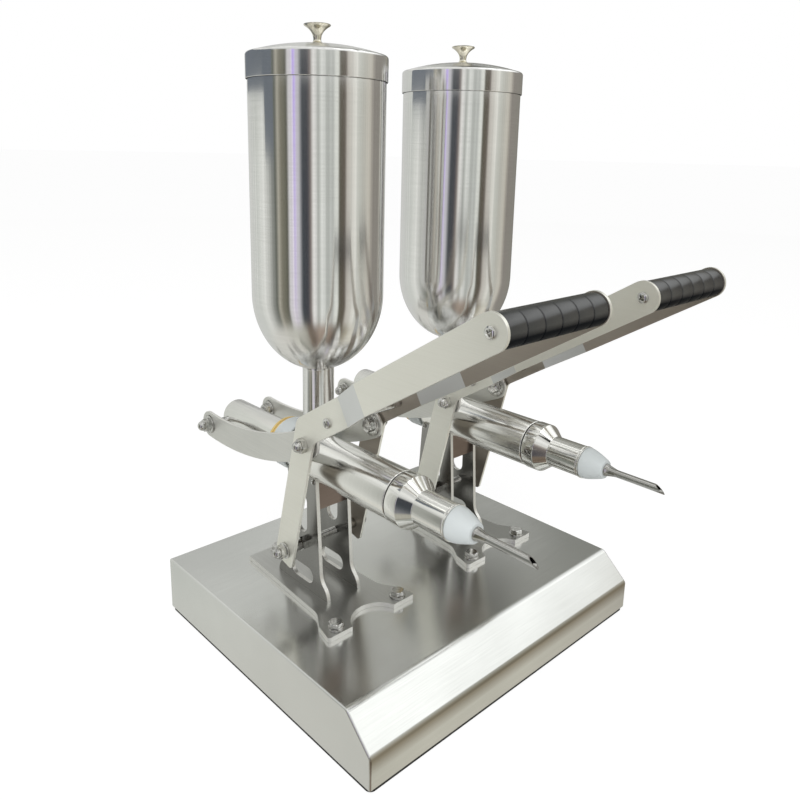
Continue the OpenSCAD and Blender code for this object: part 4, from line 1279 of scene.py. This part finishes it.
# %% [markdown]
# The lever sits on a threaded rod. A thread is only read as one when its grooves show, so the rod's
# outline zigzags with the pitch of an M8 thread, 1.25 mm. A true helix would look the same at this
# size and cost many more faces.

# %% Threaded and plain rods
PITCH = 1.25 * MM
CORE_R = BOLT_R - 0.6 * MM
ROOT_R, CREST_R = BOLT_R - 0.55 * MM, BOLT_R - 0.05 * MM


def threaded(half):
    """Outline of a threaded rod about its middle."""
    points = [(0, -half), (CORE_R, -half)]
    count = int(2 * half / PITCH)
    start = -count * PITCH / 2
    for i in range(count):
        points += [(ROOT_R, start + i * PITCH + 0.1 * MM), (CREST_R, start + (i + 0.45) * PITCH),
                   (CREST_R, start + (i + 0.6) * PITCH)]
    return points + [(CORE_R, half), (0, half)]


def smooth_rod(radius, low, high):
    """Outline of a plain rod with chamfered ends."""
    return soft([(0, low), (radius, low), (radius, high), (0, high)], 0.5 * MM, 2)


print("thread pitch", round(PITCH, 5))

# %% [markdown]
# Next come the places of the fasteners, counted outwards from the middle of a head: the cheeks, the
# links, then the straps of the lever. Each function below makes one group, and each head calls all
# of them. Bolts are rolled by different angles, as a fitter leaves them.

# %% Distances from the middle of a head
STRAP_HALF = 47 * MM
GRIP_HALF = 64 * MM
PLATE = 3 * MM
SIDE_AIR = 0.25 * MM
LINK_OUT = STRAP_HALF - PLATE - AIR - WASHER - SIDE_AIR
LINK_IN = LINK_OUT - PLATE
CHEEK_OUT = 22.2 * MM
SCREW_AT = 22.25 * MM
SCREW_R = 3 * MM
EAR_BOLT = (41.3 * MM, stand_y - 81.5 * MM)
TAIL_BOLT_Y = stand_y + 78 * MM
BOLT_END = 3 * MM
bolts_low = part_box("left_bracket_bolts")[0].z
print("links lie between", round(LINK_IN, 4), "and", round(LINK_OUT, 4))

# %% Foot bolts and cheek screws
def foot_bolts(side, x):
    """Three bolts with washers and nuts that hold the foot plate on the base."""
    spots = [(x - EAR_BOLT[0], EAR_BOLT[1]), (x + EAR_BOLT[0], EAR_BOLT[1]), (x, TAIL_BOLT_Y)]
    rolls = (0.2, 0.75, 0.4)
    head_z = plate_top + WASHER + 2 * AIR
    heads = [((*s, head_z), (0, 0, roll)) for s, roll in zip(spots, rolls)]
    parts = [placed("washers", "washer", [((*s, plate_top + AIR), UP) for s in spots]),
             placed("heads", "bolt_head", heads),
             placed("nuts", "nut", [((*s, bolts_low + BOLT_END), UP) for s in spots])]
    parts += [turned("shank", smooth_rod(BOLT_R, bolts_low, plate_top + 3 * MM), upright(*s, 0),
                     fastener_steel, 24) for s in spots]
    settle(joined(f"{side}_foot_bolts", parts), "frame", "fastener_steel",
           f"{side}_bracket_bolts")


def cheek_screws(side, x):
    """Two small screws on the outside of each cheek."""
    low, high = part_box(f"{side}_stand_screws")
    levels = [(low.y + SCREW_R, high.z - SCREW_R), (high.y - SCREW_R, high.z - SCREW_R)]
    spots = [spot for level in levels for spot in both_ways(x, SCREW_AT, level, 0.5)]
    piece = placed(f"{side}_cheek_screws", "small_screw", spots)
    settle(piece, "frame", "fastener_steel", f"{side}_stand_screws")


print("foot bolts from", round(bolts_low, 4), "to", round(plate_top + WASHER + HEAD_H, 4))

# %% The threaded rod under the lever
def pivot_rod(side, x):
    """The rod through cheeks and straps, with a washer and a cap nut at each end."""
    cap_at = STRAP_HALF + SIDE_AIR
    rod_half = cap_at + WASHER + 8 * MM
    parts = [placed("caps", "cap_nut", both_ways(x, cap_at + WASHER + AIR, pivot, 0.3)),
             placed("washers", "washer", both_ways(x, cap_at, pivot)),
             turned("rod", threaded(rod_half), sideways(x, pivot), fastener_steel, 24)]
    settle(joined(f"{side}_threaded_rod", parts), "frame", "fastener_steel", f"{side}_pivot_rod")


def rod_spacers(side, x):
    """A nut on each cheek, and a tube that keeps each strap away from it."""
    start, end = CHEEK_OUT + 6.6 * MM, STRAP_HALF - 3.25 * MM
    spacer = soft([(BOLT_R + AIR, 0), (6 * MM, 0), (6 * MM, end - start),
                   (BOLT_R + AIR, end - start)], 0.4 * MM, 2, closed=True)
    parts = [placed("nuts", "nut", both_ways(x, CHEEK_OUT + AIR, pivot, 0.1))]
    parts += [turned("spacer", spacer, sideways(x + way * start, pivot, way), fastener_steel, 40,
                     closed=True) for way in (-1, 1)]
    settle(joined(f"{side}_rod_spacers", parts), "frame", "fastener_steel",
           f"{side}_pivot_spacers")


print("lever pivot at", [round(v, 4) for v in pivot])

# %% Fasteners that ride on the lever
def elbow_bolts(side, x):
    """A bolt through each link and strap, with two wide washers and a cap nut."""
    head_at = LINK_IN - SIDE_AIR - WASHER - AIR
    washers = both_ways(x, head_at + AIR, elbow) + both_ways(x, LINK_OUT + SIDE_AIR, elbow)
    parts = [placed("heads", "bolt_head", inward(x, head_at, elbow, 0.2)),
             placed("washers", "wide_washer", washers),
             placed("caps", "cap_nut", both_ways(x, STRAP_HALF + AIR, elbow, 0.45))]
    shank = smooth_rod(BOLT_R, head_at - 2 * MM, STRAP_HALF + 5 * MM)
    parts += [turned("shank", shank, sideways(x, elbow, way), fastener_steel, 32)
              for way in (-1, 1)]
    settle(joined(f"{side}_elbow_fasteners", parts), f"{side}_lever", "fastener_steel",
           f"{side}_elbow_bolts")


def tie_bar(side, x):
    """The round bar that ties the two plates of a lever, with its screws."""
    half = STRAP_HALF - PLATE - AIR
    parts = [turned("bar", smooth_rod(BOLT_R, -half, half), sideways(x, bar_at), fastener_steel,
                    32),
             placed("screws", "pan_screw", both_ways(x, STRAP_HALF + AIR, bar_at, 0.35))]
    settle(joined(f"{side}_tie_bar", parts), f"{side}_lever", "fastener_steel",
           f"{side}_cross_bar")


def grip_screws(side, x):
    """A screw at each end of the grip."""
    piece = placed(f"{side}_grip_fasteners", "pan_screw",
                   both_ways(x, GRIP_HALF + AIR, grip_at, 0.6))
    settle(piece, f"{side}_lever", "fastener_steel", f"{side}_grip_screws")


print("elbow at", [round(v, 4) for v in elbow])

# %% Tail pin, and all fasteners in place
def tail_pin(side, x):
    """The pin through the rod's end and both links, with nuts, washers and cap nuts."""
    inner, outer = LINK_IN - SIDE_AIR - WASHER, LINK_OUT + SIDE_AIR
    pin = smooth_rod(BOLT_R, -outer - 5 * MM, outer + 5 * MM)
    washers = both_ways(x, inner, tail) + both_ways(x, outer, tail)
    parts = [placed("nuts", "nut", inward(x, inner - AIR, tail, 0.25)),
             placed("washers", "eye_washer", washers),
             placed("caps", "cap_nut", both_ways(x, outer + WASHER + AIR, tail, 0.15)),
             turned("pin", pin, sideways(x, tail), fastener_steel, 32)]
    settle(joined(f"{side}_tail_fasteners", parts), f"{side}_plunger", "fastener_steel",
           f"{side}_tail_pin")


GROUPS = (foot_bolts, cheek_screws, pivot_rod, rod_spacers, elbow_bolts, tie_bar, grip_screws,
          tail_pin)
for side, x in SIDES.items():
    for group in GROUPS:
        group(side, x)
print("fasteners placed:", 2 * len(GROUPS), "groups")

# %% [markdown]
# ## Floor, surroundings and light
# Polished steel has hardly a colour of its own: it shows the room. A dome that only reflections can
# see carries the tall light and dark bands of a bright shop, and the plain floor, lamp and world
# light everything else evenly. The camera sees a white background.

# %% Floor and white background
FLOOR_COLOUR = (0.88, 0.88, 0.88, 1)
FLOOR_GLOW = 1.12
FLOOR_SHARE = 0.74
SOFT_LIGHT = 0.62


def seen_rays(tree):
    """1 for camera, mirror and glass rays, 0 for soft light."""
    path = tree.nodes.new("ShaderNodeLightPath")
    total = added(tree, path.outputs["Is Camera Ray"], path.outputs["Is Glossy Ray"])
    total = added(tree, total, path.outputs["Is Transmission Ray"])
    clamp = tree.nodes.new("ShaderNodeClamp")
    tree.links.new(total, clamp.inputs["Value"])
    return clamp.outputs["Result"]


floor_mesh = turned_mesh("floor", [(0, 0), (2, 0), (40, 0)], steps=64)
floor_paint, floor_tree, floor_shader = new_finish("floor_paint")
floor_shader.inputs["Base Color"].default_value = FLOOR_COLOUR
floor_shader.inputs["Roughness"].default_value = 0.9
glow = floor_tree.nodes.new("ShaderNodeEmission")
glow.inputs["Color"].default_value = (1, 1, 1, 1)
glow.inputs["Strength"].default_value = FLOOR_GLOW
mix = floor_tree.nodes.new("ShaderNodeMixShader")
share = floor_tree.nodes.new("ShaderNodeMath")
share.operation = "MULTIPLY"
share.inputs[1].default_value = FLOOR_SHARE
floor_tree.links.new(seen_rays(floor_tree), share.inputs[0])
floor_tree.links.new(share.outputs[0], mix.inputs["Fac"])
floor_tree.links.new(floor_shader.outputs[0], mix.inputs[1])
floor_tree.links.new(glow.outputs[0], mix.inputs[2])
floor_tree.links.new(mix.outputs[0], floor_tree.nodes["Material Output"].inputs["Surface"])
floor = show("floor", floor_mesh, floor_paint)
floor.visible_glossy = False
print("floor", [round(v, 1) for v in floor.dimensions])

# %% White world
world = bpy.data.worlds.new("world")
scene.world = world
world.use_nodes = True
world_tree = world.node_tree
sky = world_tree.nodes["Background"]
sky.inputs["Color"].default_value = (1, 1, 1, 1)
strength = ranged(world_tree, seen_rays(world_tree), 0, 1, SOFT_LIGHT, 1.0)
world_tree.links.new(strength, sky.inputs["Strength"])
print("world light", SOFT_LIGHT)

# %% [markdown]
# The dome's colours are set ring by ring: walls, the ground below them and a ceiling in two
# parts. A photographed panorama would need a picture, and these few colours are enough for steel. A
# stop is (angle from the camera's side, red, green, blue). The angle grows to the right.

# %% Colours of the walls and the ground
BANDS = [
    (-180, 0.62, 0.62, 0.61), (-110, 0.68, 0.70, 0.66), (-92, 0.80, 0.81, 0.77),
    (-67, 0.12, 0.13, 0.11), (-61, 0.46, 0.44, 0.37), (-57, 0.24, 0.23, 0.18),
    (-45, 0.12, 0.12, 0.09), (-41, 0.70, 0.69, 0.70), (-35, 0.82, 0.78, 0.85),
    (-33, 0.52, 0.36, 1.05), (-31, 0.62, 0.50, 0.98), (-29, 0.66, 0.64, 0.70),
    (-24, 0.46, 0.46, 0.48), (-20, 0.06, 0.07, 0.08), (-10, 0.06, 0.06, 0.07),
    (-6, 0.26, 0.22, 0.20), (-3, 0.74, 0.73, 0.70), (1, 0.88, 0.88, 0.85),
    (6, 0.40, 0.42, 0.39), (13, 0.90, 0.92, 0.88), (20, 0.48, 0.50, 0.47),
    (30, 0.56, 0.58, 0.55), (38, 0.86, 0.88, 0.82), (41, 0.12, 0.11, 0.08),
    (51, 0.12, 0.10, 0.08), (54, 0.54, 0.51, 0.46), (71, 0.82, 0.82, 0.76),
    (78, 0.56, 0.57, 0.52), (103, 0.58, 0.55, 0.48), (110, 0.30, 0.28, 0.25),
    (150, 0.26, 0.25, 0.22), (180, 0.16, 0.16, 0.14),
]
GROUND = [
    (-180, 0.50, 0.50, 0.48), (-110, 0.71, 0.71, 0.66), (-74, 0.70, 0.69, 0.64),
    (-40, 0.54, 0.54, 0.47), (-22, 0.48, 0.47, 0.41), (-14, 0.22, 0.18, 0.14),
    (-4, 0.17, 0.13, 0.10), (8, 0.38, 0.30, 0.24), (30, 0.30, 0.23, 0.18),
    (40, 0.10, 0.08, 0.06), (54, 0.16, 0.14, 0.10), (68, 0.42, 0.39, 0.31),
    (80, 0.70, 0.68, 0.59), (110, 0.66, 0.63, 0.54), (140, 0.40, 0.39, 0.36),
    (180, 0.44, 0.44, 0.42),
]
print("walls:", len(BANDS), "stops, ground:", len(GROUND))

# %% Colours of the ceiling
CEILING = [
    (-180, 0.52, 0.52, 0.49), (-176, 0.46, 0.46, 0.43), (-168, 0.70, 0.71, 0.68),
    (-150, 0.74, 0.74, 0.72), (-128, 0.80, 0.80, 0.77), (-108, 0.92, 0.93, 0.90),
    (-60, 0.75, 0.76, 0.74), (50, 1.00, 1.00, 0.99), (72, 1.36, 1.38, 1.36),
    (112, 1.36, 1.38, 1.36), (135, 1.00, 1.01, 1.00), (154, 0.36, 0.37, 0.34),
    (165, 0.34, 0.34, 0.31), (167, 0.42, 0.42, 0.39), (169, 0.08, 0.08, 0.07),
    (174, 0.10, 0.10, 0.09), (177, 0.34, 0.34, 0.32), (180, 0.52, 0.52, 0.49),
]
LOW_CEILING = [
    (-180, 0.84, 0.85, 0.81), (-171, 0.84, 0.85, 0.82), (-163, 0.62, 0.63, 0.61),
    (-128, 0.80, 0.80, 0.77), (-108, 0.92, 0.93, 0.90), (-60, 0.75, 0.76, 0.74),
    (50, 1.00, 1.00, 0.99), (72, 1.36, 1.38, 1.36), (112, 1.36, 1.38, 1.36),
    (135, 1.00, 1.01, 1.00), (154, 0.36, 0.37, 0.34), (164, 0.32, 0.33, 0.31),
    (168, 0.66, 0.67, 0.64), (178, 0.72, 0.73, 0.70), (180, 0.84, 0.85, 0.81),
]
print("ceiling:", len(CEILING), "stops, its lower part:", len(LOW_CEILING))

# %% Ramps and blends of the dome
dome_paint = bpy.data.materials.new("surroundings_paint")
dome_paint.use_nodes = True
dome_tree = dome_paint.node_tree
dome_tree.nodes.clear()
link = dome_tree.links.new


def ramp(value, stops):
    """Colours that follow one another along a value from 0 to 1."""
    node = dome_tree.nodes.new("ShaderNodeValToRGB")
    elements = node.color_ramp.elements
    elements[0].position, elements[1].position = 0, 1
    for angle, *_ in stops[1:-1]:
        elements.new(angle / 360 + 0.5)
    for element, (_, red, green, blue) in zip(elements, stops):
        element.color = (red, green, blue, 1)
    link(value, node.inputs["Fac"])
    return node.outputs["Color"]


def over(value, below, above):
    """One colour that gives way to another as a value grows."""
    node = dome_tree.nodes.new("ShaderNodeMix")
    node.data_type = "RGBA"
    link(value, node.inputs["Factor"])
    link(below, node.inputs["A"])
    link(above, node.inputs["B"])
    return node.outputs["Result"]


print("dome material started")

# %% Stripes and brightness of the dome
def waves(value, scale, low, high):
    """Uneven stripes along a value, from one brightness to another."""
    noise = dome_tree.nodes.new("ShaderNodeTexNoise")
    noise.noise_dimensions = "1D"
    noise.inputs["Scale"].default_value = scale
    noise.inputs["Detail"].default_value = 3
    link(value, noise.inputs["W"])
    return ranged(dome_tree, noise.outputs["Fac"], 0.36, 0.64, low, high)


def times(colour, value):
    """A colour made brighter or darker by a value."""
    node = dome_tree.nodes.new("ShaderNodeVectorMath")
    node.operation = "SCALE"
    link(colour, node.inputs[0])
    link(value, node.inputs["Scale"])
    return node.outputs["Vector"]


print("dome helpers ready")

# %% [markdown]
# A radial gradient, turned so that its middle lies on the camera's side, says how far round a point
# of the dome lies. The point's height chooses between ground, walls and ceiling. Uneven stripes keep
# the large fields alive: thin ones on the walls, lamp rows high above and a table edge far below.

# %% Place on the dome
CAMERA_SIDE = math.atan2(-camera_ahead.y, -camera_ahead.x)
spot = dome_tree.nodes.new("ShaderNodeTexCoord")
spin = dome_tree.nodes.new("ShaderNodeMapping")
spin.inputs["Rotation"].default_value = (0, 0, -CAMERA_SIDE)
around = dome_tree.nodes.new("ShaderNodeTexGradient")
around.gradient_type = "RADIAL"
link(spot.outputs["Object"], spin.inputs["Vector"])
link(spin.outputs["Vector"], around.inputs["Vector"])
height = dome_tree.nodes.new("ShaderNodeSeparateXYZ")
link(spot.outputs["Object"], height.inputs["Vector"])
angle_round = around.outputs["Fac"]


def up_from(low, high):
    """0 below one height of the dome and 1 above another."""
    return ranged(dome_tree, height.outputs["Z"], low, high, 0, 1)


print("camera side at", round(math.degrees(CAMERA_SIDE), 1), "degrees")

# %% Painting the dome
calm = [(a, 0.66, 0.62, 0.70) if blue > 0.95 else (a, red, green, blue)
        for a, red, green, blue in BANDS]
tinted = over(up_from(-0.9, 1.2), ramp(angle_round, calm), ramp(angle_round, BANDS))
walls = times(tinted, waves(angle_round, 90, 0.88, 1.10))
ceiling = over(up_from(2.5, 2.75), ramp(angle_round, LOW_CEILING), ramp(angle_round, CEILING))
ceiling = times(ceiling, waves(height.outputs["Z"], 1.4, 0.80, 1.16))
ground = ramp(angle_round, GROUND)
lamp_rows = times(ceiling, waves(height.outputs["X"], 2.2, 0.25, 1.9))
table_edge = times(ground, waves(height.outputs["Y"], 2.6, 0.08, 1.5))
low_part = over(up_from(-2.9, -2.2), ground, walls)
low_part = over(up_from(-3.9, -3.6), table_edge, low_part)
whole = over(up_from(1.9, 2.4), low_part, over(up_from(4.1, 4.3), ceiling, lamp_rows))
light_out = dome_tree.nodes.new("ShaderNodeEmission")
dome_out = dome_tree.nodes.new("ShaderNodeOutputMaterial")
link(whole, light_out.inputs["Color"])
link(light_out.outputs[0], dome_out.inputs["Surface"])
print("dome painted with", len(dome_tree.nodes), "nodes")

# %% Dome
DOME_R = 5
DOME_Z = 0.3


def only_reflections(piece):
    """Hides a piece from the camera, from shadows and from soft light."""
    piece.visible_camera = False
    piece.visible_diffuse = False
    piece.visible_shadow = False
    piece.visible_transmission = False


arc = [math.radians(a) for a in range(-90, 91, 6)]
dome_outline = [(max(DOME_R * math.cos(a), 0), DOME_R * math.sin(a)) for a in arc]
dome_outline[0], dome_outline[-1] = (0, -DOME_R), (0, DOME_R)
dome_mesh = turned_mesh("surroundings", dome_outline, upright(0, 0, DOME_Z), steps=96)
dome = show("surroundings", dome_mesh, dome_paint)
only_reflections(dome)
print("dome radius", DOME_R)

# %% [markdown]
# High on its left side, the left hopper mirrors something dark that stood close to it. A dark field
# on the dome would show in the barrels and heads as well, so a curved card near the hopper makes it.
# Each step of the card is (angle from the camera's side, height of its lower edge).

# %% Dark card beside the left hopper
CARD = [(-141, 0.593), (-80, 0.593), (-79, 0.517), (-62, 0.517)]
CARD_R = 0.3
CARD_TOP = 0.75
card_mesh = bpy.data.meshes.new("dark_card")
corners, card_faces = [], []
for angle, low in CARD:
    way = CAMERA_SIDE + math.radians(angle)
    at = (SIDES["left"] + CARD_R * math.cos(way), stand_y + CARD_R * math.sin(way))
    corners += [(*at, low), (*at, CARD_TOP)]
for i in range(len(CARD) - 1):
    card_faces.append((2 * i, 2 * i + 2, 2 * i + 3, 2 * i + 1))
card_mesh.from_pydata(corners, [], card_faces)
card_paint = bpy.data.materials.new("card_paint")
card_paint.use_nodes = True
card_tree = card_paint.node_tree
card_tree.nodes.clear()
card_glow = card_tree.nodes.new("ShaderNodeEmission")
card_tone = blended(card_tree, pattern(card_tree, (6, 6, 1)), (0.13, 0.15, 0.17),
                    (0.20, 0.22, 0.25))
card_tree.links.new(card_tone, card_glow.inputs["Color"])
card_out = card_tree.nodes.new("ShaderNodeOutputMaterial")
card_tree.links.new(card_glow.outputs[0], card_out.inputs["Surface"])
card = show("dark_card", card_mesh, card_paint)
only_reflections(card)
print("card with", len(card_faces), "faces")

# %% [markdown]
# One large soft lamp stands high behind the camera. It gives the floor its faint shadow and shapes
# the dull pieces. It isn't mirrored, so it leaves no hard square on the steel.

# %% Lamp
LAMP_SIZE = 2.2
LAMP_POWER = 42
LAMP_PLACE = (-1.4, -1.3, 2.2)
LAMP_AIM = Vector((0, 0, 0.2))
lamp_data = bpy.data.lights.new("soft_lamp", "AREA")
lamp_data.shape = "RECTANGLE"
lamp_data.size = LAMP_SIZE
lamp_data.size_y = LAMP_SIZE
lamp_data.energy = LAMP_POWER
lamp = bpy.data.objects.new("soft_lamp", lamp_data)
lamp.location = LAMP_PLACE
lamp.rotation_euler = (LAMP_AIM - lamp.location).to_track_quat("-Z", "Y").to_euler()
lamp.visible_glossy = False
lamp.visible_camera = False
scene.collection.objects.link(lamp)
scene.view_settings.view_transform = "Standard"
print("light ready")
